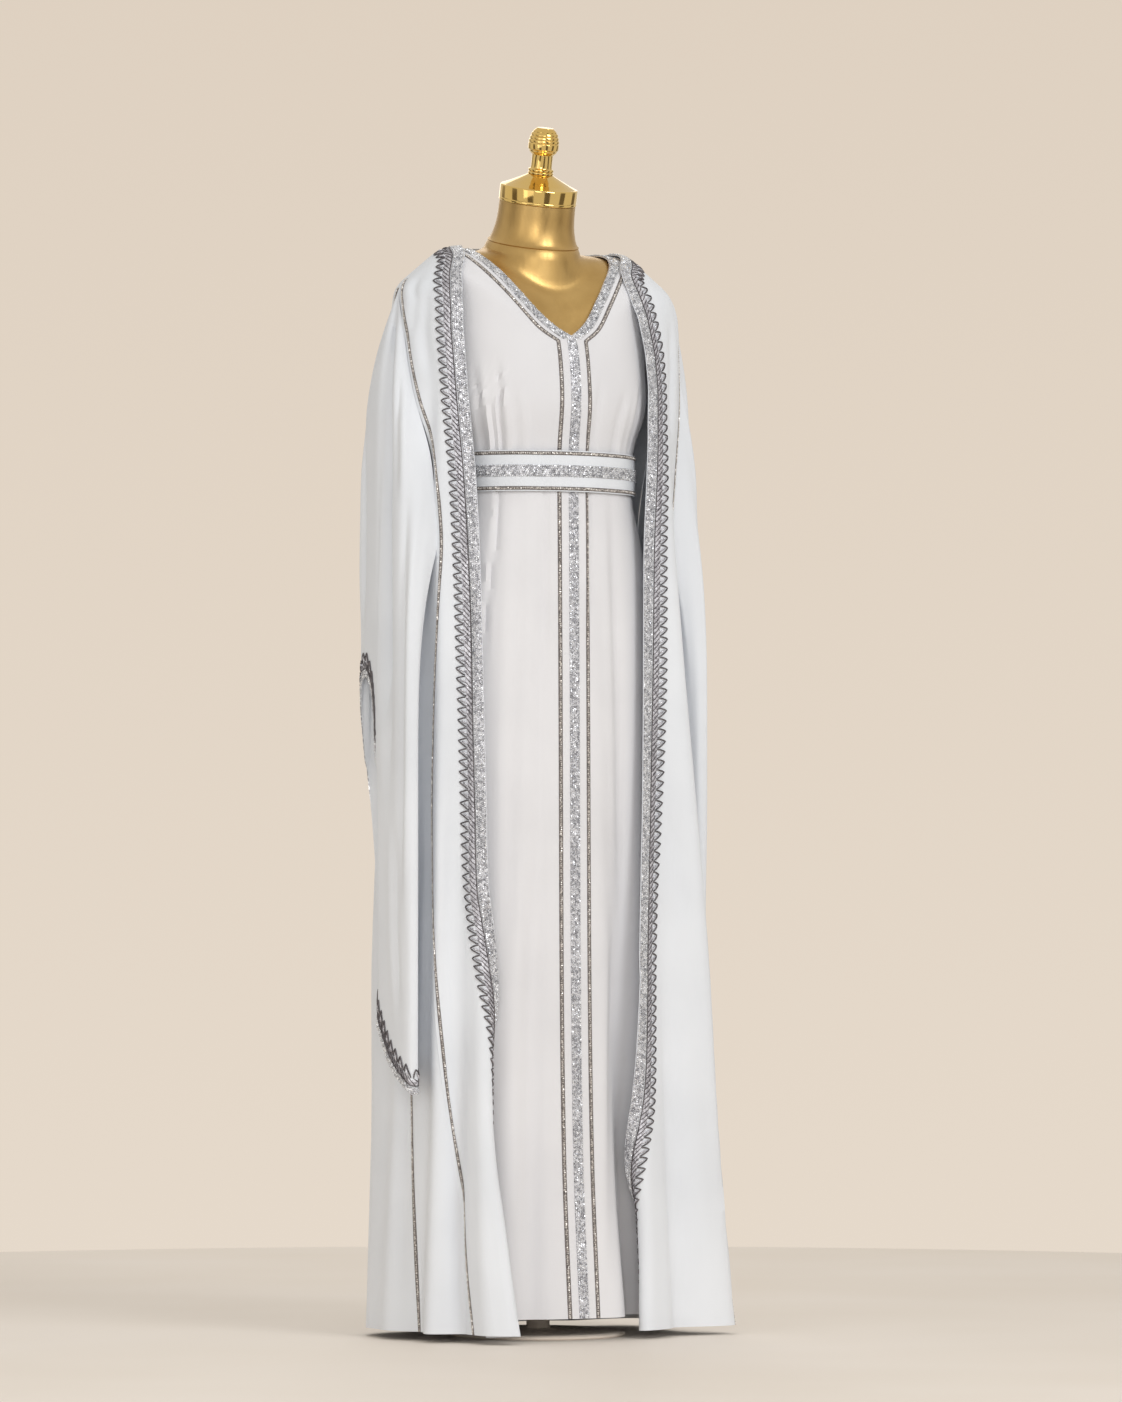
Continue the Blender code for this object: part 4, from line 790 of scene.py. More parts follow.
def turned_under(points: Array, normals: Array, turns: Array) -> Array:
    """Turn each row of a robe front under along its free edge.

    The cloth bends on an arc of constant length, and is flat beyond it.

    Args:
        points: The flat grid, with the free edge in its first column.
        normals: Its outward normals.
        turns: How far each row turns, in radians.

    Returns:
        The turned points.
    """
    turns = np.maximum(turns, 1e-5)
    radius, reach = TURN_ARC / turns, turn_reach(turns)
    distances = run_lengths(points.swapaxes(0, 1)).swapaxes(0, 1)
    rows = np.arange(len(points))
    low = (distances < reach[:, None]).sum(axis=1) - 1
    part = (reach - distances[rows, low]) / (distances[rows, low + 1] - distances[rows, low])
    start = points[rows, low] * (1 - part[:, None]) + points[rows, low + 1] * part[:, None]
    out = unit(normals[rows, low] * (1 - part[:, None]) + normals[rows, low + 1] * part[:, None])
    ahead = unit(points[rows, low] - points[rows, low + 1])
    ahead = unit(ahead - out * (ahead * out).sum(-1, keepdims=True))
    run = reach[:, None] - distances
    turn = turns[:, None] * np.clip(run / TURN_ARC, 0.0, 1.0)
    beyond = np.maximum(run - TURN_ARC, 0.0)
    forward = radius[:, None] * np.sin(turn) + beyond * np.cos(turn)
    inward = radius[:, None] * (1 - np.cos(turn)) + beyond * np.sin(turn)
    moved = start[:, None] + ahead[:, None] * forward[..., None] - out[:, None] * inward[..., None]
    share = smooth_step(np.degrees(turns) / FULL_TURN_FROM)[:, None, None]
    moved = points + (moved - points) * share
    return np.where((run > 0)[..., None], moved, points)


@dataclass
class Shape:
    """Points and faces of a mesh in the making, with a place on the cloth for each point."""

    points: Array
    faces: list[list[int]]
    places: Array | None = None

    def joined(self, other: "Shape") -> "Shape":
        """Both shapes as one."""
        count = len(self.points)
        faces = self.faces + [[count + i for i in face] for face in other.faces]
        places = None
        if self.places is not None and other.places is not None:
            places = np.concatenate([self.places, other.places])
        return Shape(np.concatenate([self.points, other.points]), faces, places)


def wall(panel: Panel, above: Array | float, below: Array | float) -> Shape:
    """A closed thin wall round a panel.

    Args:
        panel: The middle surface.
        above: How far the outer face lies along the normals.
        below: How far the inner face lies behind them.

    Returns:
        The shape, whose points are the outer face's and then the inner's.
    """
    points, normals = panel.points, panel.normals
    rows, columns = points.shape[:2]
    above, below = (np.broadcast_to(np.asarray(h, float), (rows, columns)) for h in (above, below))
    outer = points + normals * above[..., None]
    inner = points - normals * below[..., None]
    index = np.arange(rows * columns).reshape(rows, columns)
    if panel.ring:
        index = np.concatenate([index, index[:1]])
    count = rows * columns
    a, b, c, d = index[:-1, :-1], index[:-1, 1:], index[1:, 1:], index[1:, :-1]
    front = np.stack([a, b, c, d], axis=-1).reshape(-1, 4)
    behind = front[:, ::-1] + count
    rims = [(index[:-1, 0], index[1:, 0]), (index[1:, -1], index[:-1, -1])]
    if not panel.ring:
        rims += [(index[0, 1:], index[0, :-1]), (index[-1, :-1], index[-1, 1:])]
    sides = [np.stack([p, q, q + count, p + count], axis=-1) for p, q in rims]
    faces = np.concatenate([front, behind, *sides])
    facing = np.cross(points[0, 1] - points[0, 0], points[1, 0] - points[0, 0])
    if facing @ normals[0, 0] < 0:
        faces = faces[:, ::-1]
    places = panel.cloth_map().reshape(-1, 2)
    both = np.concatenate([outer.reshape(-1, 3), inner.reshape(-1, 3)])
    return Shape(both, faces.tolist(), np.concatenate([places, places]))


def new_object(name: str, shape: Shape, material: bpy.types.Material) -> bpy.types.Object:
    """Make an object of a shape and link it to the scene."""
    mesh = bpy.data.meshes.new(name)
    mesh.from_pydata(shape.points.tolist(), [], shape.faces)
    mesh.materials.append(material)
    made = bpy.data.objects.new(name, mesh)
    bpy.context.scene.collection.objects.link(made)
    return made


def make_piece(
    name: str,
    shape: Shape,
    material: bpy.types.Material,
    nodes: tuple[str, ...] = (),
    smooth_below: float | None = 50.0,
) -> bpy.types.Object:
    """Make an object that rides on the part's body and stands for its solids.

    Args:
        name: The piece's name.
        shape: Its mesh.
        material: Its finish.
        nodes: The solids that it replaces.
        smooth_below: Edges sharper than this many degrees stay hard; None is all flat.

    Returns:
        The new object.
    """
    piece = new_object(name, shape, material)
    mesh = piece.data
    if shape.places is not None:
        layer = mesh.uv_layers.new(name="cloth")
        corners = np.empty(len(mesh.loops), dtype=np.int32)
        mesh.loops.foreach_get("vertex_index", corners)
        layer.data.foreach_set("uv", shape.places[corners].astype(np.float32).ravel())
    if smooth_below is not None:
        mesh.shade_smooth()
        mesh.set_sharp_from_angle(angle=math.radians(smooth_below))
    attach(piece, BODY)
    if nodes:
        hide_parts(*nodes)
    triangles = sum(len(face) - 2 for face in shape.faces)
    log.info("%s: %d triangles", name, triangles)
    return piece


@dataclass
class Strip:
    """A narrow panel for trims, read by metres along it and across it."""

    panel: Panel

    FLANK = 0.35
    FLATNESS = 6
    END_MARGIN = 0.0008
    UNEVEN_ALONG = 0.12
    UNEVEN_ACROSS = 0.10
    STONE_SIZES = (0.86, 1.1)
    STONE_TILT = 0.16
    STONE_LEAN = 0.6
    STONE_TABLE = 0.58
    LOOK_AHEAD = 0.001

    def __post_init__(self) -> None:
        """Measure the strip along its middle and across its rows."""
        whole = self.panel.closed()
        points = whole.points
        self.both = np.concatenate([points, whole.normals], axis=-1)
        self.along = run_lengths(points[:, points.shape[1] // 2])
        self.across = np.median(run_lengths(points.swapaxes(0, 1)), axis=1)

    @property
    def length(self) -> float:
        """The strip's length in metres."""
        return float(self.along[-1])

    @property
    def width(self) -> float:
        """The strip's usual width in metres."""
        return float(self.across[-1])

    def place(self, along: Array, across: Array, lift: Array | float) -> Array:
        """Points over the strip.

        Args:
            along: Distances from its start.
            across: Distances from its first side.
            lift: How far the points stand off it.

        Returns:
            Points and normals, as six numbers each.
        """
        both = self.both
        row = np.interp(along, self.along, np.arange(len(self.along)))
        column = np.interp(across, self.across, np.arange(len(self.across)))
        i = np.clip(row.astype(int), 0, both.shape[0] - 2)
        j = np.clip(column.astype(int), 0, both.shape[1] - 2)
        r, c = (row - i)[..., None], (column - j)[..., None]
        near = both[i, j] * (1 - c) + both[i, j + 1] * c
        far = both[i + 1, j] * (1 - c) + both[i + 1, j + 1] * c
        read = near * (1 - r) + far * r
        out = unit(read[..., 3:])
        lift = np.asarray(lift, float)[..., None] if np.ndim(lift) else lift
        return np.concatenate([read[..., :3] + out * lift, out], axis=-1)

    def ribbon(self, thickness: float, base: float) -> Shape:
        """A flat ribbon with rounded sides, from base up to its thickness."""
        share = np.linspace(-1, 1, self.panel.points.shape[1])
        top = base + thickness * (self.FLANK + (1 - self.FLANK) * (1 - share**self.FLATNESS))
        return wall(self.panel, top[None, :], -base)

    def stones(
        self, pitch: float, rows: int, size: float, height: float, lift: float, seed: int
    ) -> Shape:
        """Cut stones set in rows: a square foot and a smaller square table, closed below.

        Args:
            pitch: The spacing along the strip.
            rows: How many rows lie across it.
            size: The radius of a stone.
            height: How high it stands.
            lift: The height of its foot over the strip.
            seed: The seed of the small unevenness.

        Returns:
            All the stones as one shape.
        """
        chance = np.random.default_rng(seed)
        count = max(1, int(self.length / pitch))
        step = self.length / count
        along = (np.arange(count)[:, None] + 0.5 + 0.5 * (np.arange(rows) % 2)) * step
        across = self.width * (np.arange(rows) + 0.5) / rows
        across = np.broadcast_to(across, along.shape)
        jitter = chance.uniform(-1, 1, (3, *along.shape))
        along = along + jitter[0] * step * self.UNEVEN_ALONG
        along = np.clip(along, self.END_MARGIN, self.length - self.END_MARGIN)
        across = across + jitter[1] * self.width / rows * self.UNEVEN_ACROSS
        middle = self.place(along, across, lift).reshape(-1, 6)
        further = np.minimum(along + self.LOOK_AHEAD, self.length)
        ahead = self.place(further, across, lift).reshape(-1, 6)
        out = middle[:, 3:]
        way = unit(ahead[:, :3] - middle[:, :3] + 1e-9)
        side = unit(np.cross(out, way))
        way = np.cross(side, out)
        total = len(middle)
        turn = chance.uniform(0, math.pi / 2, total)
        sizes = size * chance.uniform(*self.STONE_SIZES, total)
        tilt = chance.normal(0, self.STONE_TILT, (total, 2))
        corners = turn[:, None] + np.arange(4) * math.pi / 2
        cosine, sine = np.cos(corners), np.sin(corners)
        spokes = way[:, None] * cosine[..., None] + side[:, None] * sine[..., None]
        foot = middle[:, None, :3] + spokes * sizes[:, None, None]
        lean = (cosine * tilt[:, :1] + sine * tilt[:, 1:]) * sizes[:, None] * self.STONE_LEAN
        top = middle[:, None, :3] + spokes * sizes[:, None, None] * self.STONE_TABLE
        top = top + out[:, None] * (height + lean)[..., None]
        points = np.concatenate([foot, top], axis=1).reshape(-1, 3)
        k = np.arange(4)
        after = (k + 1) % 4
        sides = np.stack([k, after, after + 4, k + 4], axis=-1)
        faces = np.concatenate([sides, [k + 4], [k[::-1]]])
        offsets = np.arange(total)[:, None, None] * 8
        return Shape(points, (offsets + faces[None]).reshape(-1, 4).tolist())


THREAD_END = 0.55


def tubes(paths: Array, outs: Array, radius: float, sides: int = 5) -> Shape:
    """Round threads along many paths at once, closed at both ends.

    Args:
        paths: Points of each thread, as threads, points and coordinates.
        outs: The way out of the cloth at each point.
        radius: The threads' radius.
        sides: The corners of a thread's section.

    Returns:
        All the threads as one shape.
    """
    count, length = paths.shape[:2]
    way = unit(np.gradient(paths, axis=1))
    side = unit(np.cross(way, outs))
    up = np.cross(side, way)
    turn = np.arange(sides) * 2 * math.pi / sides
    ends = np.ones(length)
    ends[[0, -1]] = THREAD_END
    reach = radius * ends[None, :, None, None]
    ring = side[:, :, None] * np.cos(turn)[:, None] + up[:, :, None] * np.sin(turn)[:, None]
    points = (paths[:, :, None] + ring * reach).reshape(-1, 3)
    k = np.arange(sides)
    after = (k + 1) % sides
    span = np.arange(length - 1)[:, None] * sides
    quads = np.stack([span + k, span + after, span + after + sides, span + k + sides], axis=-1)
    offsets = np.arange(count) * length * sides
    quads = (offsets[:, None, None, None] + quads[None]).reshape(-1, 4)
    first = offsets[:, None] + k[::-1]
    last = offsets[:, None] + k + (length - 1) * sides
    return Shape(points, quads[:, ::-1].tolist() + first[:, ::-1].tolist() + last[:, ::-1].tolist())


LINE_SPANS = 4
LINE_ROUNDING = 2


def smooth_line(places: tuple[tuple[float, float], ...], count: int) -> Array:
    """Places read evenly along a line through them, with its corners rounded."""
    knots = np.array(places)
    run = run_lengths(knots)
    at = np.linspace(0, run[-1], LINE_SPANS * (count - 1) + 1)
    return softened(straight_through(run, knots, at), LINE_ROUNDING)[::LINE_SPANS]


def outer_level(level: Array) -> Array:
    """The level that a front panel's row reaches at its outer edge."""
    return level + TIP_LEVEL * np.clip(1 - level / UNDERARM_LEVEL, 0, 1) ** 2


def opened_at_seam(layer: Layer, grid: Array, way: int) -> Array:
    """Draw a net's shoulder row back from its seam by half the seam's gap."""
    by_angle, _ = layer.gradients(grid[0, :, 0], grid[0, :, 1])
    grid[0, :, 0] += way * SEAM_GAP / 2 / np.linalg.norm(by_angle, axis=-1)
    return grid


class NodeSet:
    """Node building that finishes and shared effects have in common."""

    def __init__(self, tree: bpy.types.NodeTree) -> None:
        """Work on one node tree."""
        self.tree = tree

    def node(self, kind: str, **values: object) -> bpy.types.Node:
        """Add a node.

        Args:
            kind: Its Blender type.
            values: Its settings, and a value or a link for each input. An input is
                named in full with _ for a space, or as i and its number.

        Returns:
            The node.
        """
        made = self.tree.nodes.new(kind)
        for name, value in values.items():
            if hasattr(made, name):
                setattr(made, name, value)
                continue
            number = name[1:]
            socket = made.inputs[int(number) if number.isdigit() else name.replace("_", " ")]
            if isinstance(value, bpy.types.NodeSocket):
                self.tree.links.new(value, socket)
            else:
                socket.default_value = value
        return made

    def place(self, source: str = "Object") -> bpy.types.NodeSocket:
        """The piece's own coordinates."""
        return self.node("ShaderNodeTexCoord").outputs[source]

    def noise(self, place: bpy.types.NodeSocket, scale: float, detail: float = 2.0) -> bpy.types.NodeSocket:
        """A soft noise value from 0 to 1."""
        return self.node("ShaderNodeTexNoise", Vector=place, Scale=scale, Detail=detail).outputs[0]

    def ranged(
        self, value: bpy.types.NodeSocket, low: float, high: float, first: float, last: float
    ) -> bpy.types.NodeSocket:
        """The value moved from low..high to first..last, and kept inside."""
        ends = dict(From_Min=low, From_Max=high, To_Min=first, To_Max=last)
        return self.node("ShaderNodeMapRange", Value=value, **ends).outputs[0]

    def sum(self, operation: str, first: object, last: object) -> bpy.types.NodeSocket:
        """A sum, product or the like of two values."""
        return self.node("ShaderNodeMath", operation=operation, i0=first, i1=last).outputs[0]

    def mixed(self, share: bpy.types.NodeSocket, first: tuple, last: tuple) -> bpy.types.NodeSocket:
        """A colour between two colours."""
        made = self.node(
            "ShaderNodeMix", data_type="RGBA", i0=share, i6=(*first, 1.0), i7=(*last, 1.0)
        )
        return made.outputs[2]


class Effect(NodeSet):
    """A shader node group that several finishes use."""

    def __init__(self, name: str, inputs: tuple[str, ...], outputs: tuple[str, ...]) -> None:
        """Make the group with vector inputs and value outputs."""
        super().__init__(bpy.data.node_groups.new(name, "ShaderNodeTree"))
        face = self.tree.interface
        for socket in inputs:
            face.new_socket(name=socket, in_out="INPUT", socket_type="NodeSocketVector")
        for socket in outputs:
            face.new_socket(name=socket, in_out="OUTPUT", socket_type="NodeSocketFloat")
        self.inside = self.tree.nodes.new("NodeGroupInput").outputs
        self.out = self.tree.nodes.new("NodeGroupOutput").inputs

    def give(self, name: str, value: bpy.types.NodeSocket) -> None:
        """Link a value to an output."""
        self.tree.links.new(value, self.out[name])


def crepe_effect() -> bpy.types.NodeTree:
    """Crossed threads and a pebbly grain for bump, and a slow change of tone."""
    effect = Effect("crepe", ("Place", "Cloth"), ("Grain", "Tone"))
    thread_scale = 520.0
    bands = [
        effect.node(
            "ShaderNodeTexWave", bands_direction=way, Vector=effect.inside["Cloth"],
            Scale=thread_scale, Distortion=0.6, Detail=1.0,
        ).outputs["Fac"]
        for way in ("X", "Y")
    ]
    threads = effect.sum("MULTIPLY", *bands)
    pebble = effect.noise(effect.inside["Place"], 1100.0)
    effect.give("Grain", effect.sum("ADD", effect.sum("MULTIPLY", threads, 0.4), pebble))
    slow = effect.noise(effect.inside["Place"], 6.0)
    effect.give("Tone", effect.ranged(slow, 0.35, 0.65, 0.0, 1.0))
    return effect.tree


def glitter_glint_effect() -> bpy.types.NodeTree:
    """A value for each small cell, mostly middling with some dark and some bright: painted glints, and a facet
    value.
    """
    effect = Effect("glitter", ("Place",), ("Painted glint", "Facet"))
    cells = [
        effect.node("ShaderNodeTexVoronoi", Vector=effect.inside["Place"], Scale=scale)
        for scale in (360.0, 820.0)
    ]
    lots = [
        effect.node("ShaderNodeSeparateColor", Color=cell.outputs["Color"]).outputs[0]
        for cell in cells
    ]
    both = effect.sum("ADD", effect.sum("MULTIPLY", lots[0], 0.6), effect.sum("MULTIPLY", lots[1], 0.4))
    # Each cell's brightness goes into the base colour as painted glints, in place of light off the facets.
    effect.give("Painted glint", effect.ranged(both, 0.15, 0.85, 0.0, 1.0))
    effect.give("Facet", lots[1])
    return effect.tree


def worn_effect() -> bpy.types.NodeTree:
    """Fine brushed streaks and cloudy patches for metals."""
    effect = Effect("worn metal", ("Place",), ("Streaks", "Clouds"))
    long = effect.node("ShaderNodeMapping", Vector=effect.inside["Place"], Scale=(260.0, 260.0, 18.0))
    effect.give("Streaks", effect.noise(long.outputs[0], 1.0, 3.0))
    effect.give("Clouds", effect.ranged(effect.noise(effect.inside["Place"], 22.0), 0.3, 0.7, 0.0, 1.0))
    return effect.tree


Effects = dict[str, bpy.types.NodeTree]
Finishes = dict[str, bpy.types.Material]


class Finish(NodeSet):
    """A material in the making."""

    def __init__(self, name: str, **sockets: object) -> None:
        """Make the material and set its shader's own sockets."""
        self.material = bpy.data.materials.new(name)
        self.material.use_nodes = True
        super().__init__(self.material.node_tree)
        self.shader = self.tree.nodes["Principled BSDF"]
        for socket, value in sockets.items():
            self.shader.inputs[socket.replace("_", " ")].default_value = value

    def group(self, tree: bpy.types.NodeTree, **inputs: bpy.types.NodeSocket) -> list:
        """Place a shared effect, and give its outputs."""
        made = self.node("ShaderNodeGroup", node_tree=tree)
        for name, value in inputs.items():
            self.tree.links.new(value, made.inputs[name])
        return made.outputs

    def feed(self, socket: str, value: bpy.types.NodeSocket) -> None:
        """Link a varying value to the shader."""
        self.tree.links.new(value, self.shader.inputs[socket])

    def bump(self, height: bpy.types.NodeSocket, strength: float, distance: float) -> None:
        """Give the surface a fine relief."""
        made = self.node("ShaderNodeBump", Height=height, Strength=strength, Distance=distance)
        self.feed("Normal", made.outputs[0])


@dataclass(frozen=True)
class ClothFinish:
    """Matt crepe with a faint change of tone."""

    name: str
    light: tuple[float, float, float]
    shade: tuple[float, float, float]

    def made(self, effects: Effects) -> bpy.types.Material:
        """The finish as a material."""
        finish = Finish(self.name, Sheen_Weight=0.18, Sheen_Roughness=0.45)
        finish.shader.inputs["Specular IOR Level"].default_value = 0.22
        out = finish.group(effects["crepe"], Place=finish.place(), Cloth=finish.place("UV"))
        finish.feed("Base Color", finish.mixed(out["Tone"], self.shade, self.light))
        finish.feed("Roughness", finish.ranged(out["Grain"], 0.2, 1.2, 0.66, 0.84))
        finish.bump(out["Grain"], 0.22, 0.0004)
        return finish.material


@dataclass(frozen=True)
class StoneFinish:
    """Small cut stones or glitter, each speck painted with its own brightness as painted glints."""

    name: str
    dark: tuple[float, float, float]
    light: tuple[float, float, float]
    metallic: float
    roughness: float

    def made(self, effects: Effects) -> bpy.types.Material:
        """The finish as a material."""
        finish = Finish(self.name, Metallic=self.metallic)
        out = finish.group(effects["glitter"], Place=finish.place())
        # Painted glints: the base colour runs from dark to light speck by speck, in place of light off the
        # facets.
        finish.feed("Base Color", finish.mixed(out["Painted glint"], self.dark, self.light))
        rough = finish.ranged(out["Facet"], 0.0, 1.0, self.roughness, self.roughness + 0.22)
        finish.feed("Roughness", rough)
        finish.bump(out["Facet"], 0.35, 0.0004)
        return finish.material


@dataclass(frozen=True)
class MetalFinish:
    """Gold paint, brass or painted steel with streaks and cloudy patches."""

    name: str
    light: tuple[float, float, float]
    dark: tuple[float, float, float]
    metallic: float
    smoothest: float
    roughest: float
    relief: float

    def made(self, effects: Effects) -> bpy.types.Material:
        """The finish as a material."""
        finish = Finish(self.name, Metallic=self.metallic)
        out = finish.group(effects["worn"], Place=finish.place())
        finish.feed("Base Color", finish.mixed(out["Clouds"], self.dark, self.light))
        rough = finish.ranged(out["Streaks"], 0.3, 0.7, self.smoothest, self.roughest)
        finish.feed("Roughness", rough)
        finish.bump(out["Streaks"], self.relief, 0.0003)
        return finish.material


def make_finishes() -> Finishes:
    """Build every finish from its table of values."""
    effects = dict(crepe=crepe_effect(), glitter=glitter_glint_effect(), worn=worn_effect())
    table = dict(
        robe=ClothFinish("cool white crepe", (0.80, 0.83, 0.88), (0.75, 0.78, 0.83)),
        dress=ClothFinish("white crepe", (0.78, 0.78, 0.81), (0.73, 0.73, 0.76)),
        # The stone, tape and thread finishes paint glints: their light colour is a painted highlight on some
        # specks.
        stone=StoneFinish("cut stones", (0.34, 0.35, 0.38), (0.97, 0.98, 1.0), 0.55, 0.12),
        tape=StoneFinish("glitter tape", (0.26, 0.25, 0.28), (0.80, 0.80, 0.86), 0.40, 0.26),
        line_tape=StoneFinish("line tape", (0.10, 0.09, 0.09), (0.24, 0.21, 0.20), 0.10, 0.50),
        line_stone=StoneFinish("line stones", (0.34, 0.31, 0.29), (0.95, 0.91, 0.86), 0.50, 0.14),
        dark_thread=StoneFinish("dark thread", (0.055, 0.050, 0.055), (0.20, 0.18, 0.19), 0.25, 0.40),
        silver_thread=StoneFinish("silver thread", (0.36, 0.35, 0.39), (0.88, 0.88, 0.94), 0.50, 0.22),
        gold=MetalFinish("satin gold", (0.62, 0.41, 0.155), (0.52, 0.33, 0.115), 0.85, 0.30, 0.42, 0.10),
        brass=MetalFinish("polished brass", (0.88, 0.62, 0.22), (0.84, 0.57, 0.18), 1.0, 0.06, 0.12, 0.02),
        steel=MetalFinish("cream steel", (0.74, 0.66, 0.58), (0.70, 0.62, 0.54), 0.0, 0.40, 0.55, 0.05),
    )
    return {name: finish.made(effects) for name, finish in table.items()}


@dataclass(frozen=True)
class Thread:
    """One thread of a braid's tooth, as places (away from the base line, down)."""

    name: str
    line: tuple[tuple[float, float], ...]
    radius: float
    dark: bool


LEAF_THREADS = (
    Thread("upper side", ((0.0218, -0.0036), (0.0190, -0.0046), (0.0155, -0.0056), (0.0120, -0.0062),
                          (0.0098, -0.0058)), 0.00105, True),
    Thread("lower side", ((0.0218, -0.0036), (0.0196, -0.0010), (0.0165, 0.0022), (0.0130, 0.0050),
                          (0.0098, 0.0066)), 0.00105, True),
    Thread("filling", ((0.0172, -0.0024), (0.0150, -0.0012), (0.0120, 0.0006), (0.0096, 0.0022)),
           0.00115, False),
    Thread("first stitch", ((0.0094, -0.0050), (0.0066, -0.0012), (0.0036, 0.0024), (0.0008, 0.0052)),
           0.00060, True),
    Thread("second stitch", ((0.0094, 0.0020), (0.0066, 0.0058), (0.0036, 0.0094), (0.0008, 0.0122)),
           0.00060, True),
)


@dataclass
class Braid:
    """Leaf-shaped thread loops along an edge, on a glitter tape.

    The loops start from a base line and point away from the edge and up.
    """

    strip: Strip
    base: float
    size: float
    pitch: float
    points_each: int = 6
    lift: float = 0.0013
    crown: float = 0.0006

    FIRST_TOOTH = 0.45
    EDGE_THREAD_LIFT = 0.0014
    EDGE_THREAD_SIDES = 6

    def threads(self, dark: bool) -> Shape:
        """All the dark or all the light threads as one shape."""
        teeth = max(2, round(self.strip.length / self.pitch))
        starts = (np.arange(teeth) + self.FIRST_TOOTH) * self.strip.length / teeth
        shape = Shape(np.zeros((0, 3)), [])
        for thread in LEAF_THREADS:
            if thread.dark != dark:
                continue
            line = smooth_line(thread.line, self.points_each) * self.size
            along = starts[:, None] + line[None, :, 1]
            end = self.strip.length - thread.radius
            inside = ((along > thread.radius) & (along < end)).all(axis=1)
            along = along[inside]
            across = np.broadcast_to(self.base + line[None, :, 0], along.shape)
            bow = self.crown * np.sin(np.linspace(0, math.pi, line.shape[0]))
            read = self.strip.place(along, across, np.broadcast_to(self.lift + bow, along.shape))
            shape = shape.joined(tubes(read[..., :3], read[..., 3:], thread.radius * self.size))
        return shape

    def edge_thread(self, step: float = 0.004, radius: float = 0.0008) -> Shape:
        """The dark thread along the base line."""
        along = np.linspace(radius, self.strip.length - radius, round(self.strip.length / step))
        base = np.full_like(along, self.base)
        read = self.strip.place(along, base, self.EDGE_THREAD_LIFT)
        return tubes(read[None, :, :3], read[None, :, 3:], radius, self.EDGE_THREAD_SIDES)


@dataclass(frozen=True)
class StoneTrim:
    """A kind of tape with stones: its finishes, its slot and how the stones are set."""

    tape: str
    stone: str
    slot: str
    pitch: float
    row: float
    least_rows: int


BAND = StoneTrim("tape", "stone", "silver_rhinestone", 0.0027, 0.0028, 3)
LINE = StoneTrim("line_tape", "line_stone", "narrow_rhinestone", 0.0029, math.inf, 1)


@dataclass
class Sewing:
    """Makes the trims that are sewn on the cloth."""

    finishes: Finishes
    seed: int = 11
    made: int = 0

    STONE_RADIUS = 0.0018
    STONE_HEIGHT = 0.0011
    STONE_FOOT = 0.8
    TAPE_BASE = 0.0007
    TAPE_THICKNESS = 0.0006
    THREAD_SHARP = 80.0

    def next_seed(self) -> int:
        """A new seed for each trim."""
        self.made += 1
        return self.seed + self.made

    def stones(self, node: str, panel: Panel, kind: StoneTrim) -> list[bpy.types.Object]:
        """A tape with rows of cut stones, in place of a band's or a line's solid."""
        strip = Strip(panel)
        tape = strip.ribbon(self.TAPE_THICKNESS, self.TAPE_BASE)
        rows = max(kind.least_rows, round(strip.width / kind.row))
        foot = self.TAPE_BASE + self.TAPE_THICKNESS * self.STONE_FOOT
        sizes = (self.STONE_RADIUS, self.STONE_HEIGHT, foot)
        stones = strip.stones(kind.pitch, rows, *sizes, self.next_seed())
        return [
            make_piece(f"{node}_tape", tape, self.finishes[kind.tape], (node,)),
            make_piece(
                f"{node}_stones", stones, self.finishes[kind.stone], smooth_below=None
            ),
        ]

    def braid(self, node: str, tape_panel: Panel, braid: Braid) -> list[bpy.types.Object]:
        """A glitter tape with leaf-shaped loops, in place of a braid's solid."""
        tape = Strip(tape_panel).ribbon(self.TAPE_THICKNESS, self.TAPE_BASE)
        pieces = [make_piece(f"{node}_tape", tape, self.finishes["tape"], (node,))]
        threads = (
            ("loops", braid.threads(dark=True).joined(braid.edge_thread()), "dark_thread"),
            ("filling", braid.threads(dark=False), "silver_thread"),
        )
        for ending, shape, finish in threads:
            piece = make_piece(
                f"{node}_{ending}", shape, self.finishes[finish], smooth_below=self.THREAD_SHARP
            )
            pieces.append(piece)
        return pieces


def sew_cloth(
    node: str,
    panel: Panel,
    material: bpy.types.Material,
) -> bpy.types.Object:
    """Make one cloth piece and log the size of its flat cut.

    Args:
        node: The solid that it stands for.
        panel: Its middle surface.
        material: Its finish.

    Returns:
        The piece.
    """
    shape = wall(panel, CLOTH / 2, CLOTH / 2)
    piece = make_piece(f"{node}_cloth", shape, material, (node,))
    width, length, area = panel.flat_size()
    log.info("%s is cut %.3f by %.3f m, %.3f square metres", node, width, length, area)
    return piece


TORSO_SKIN = "form_torso_skin"


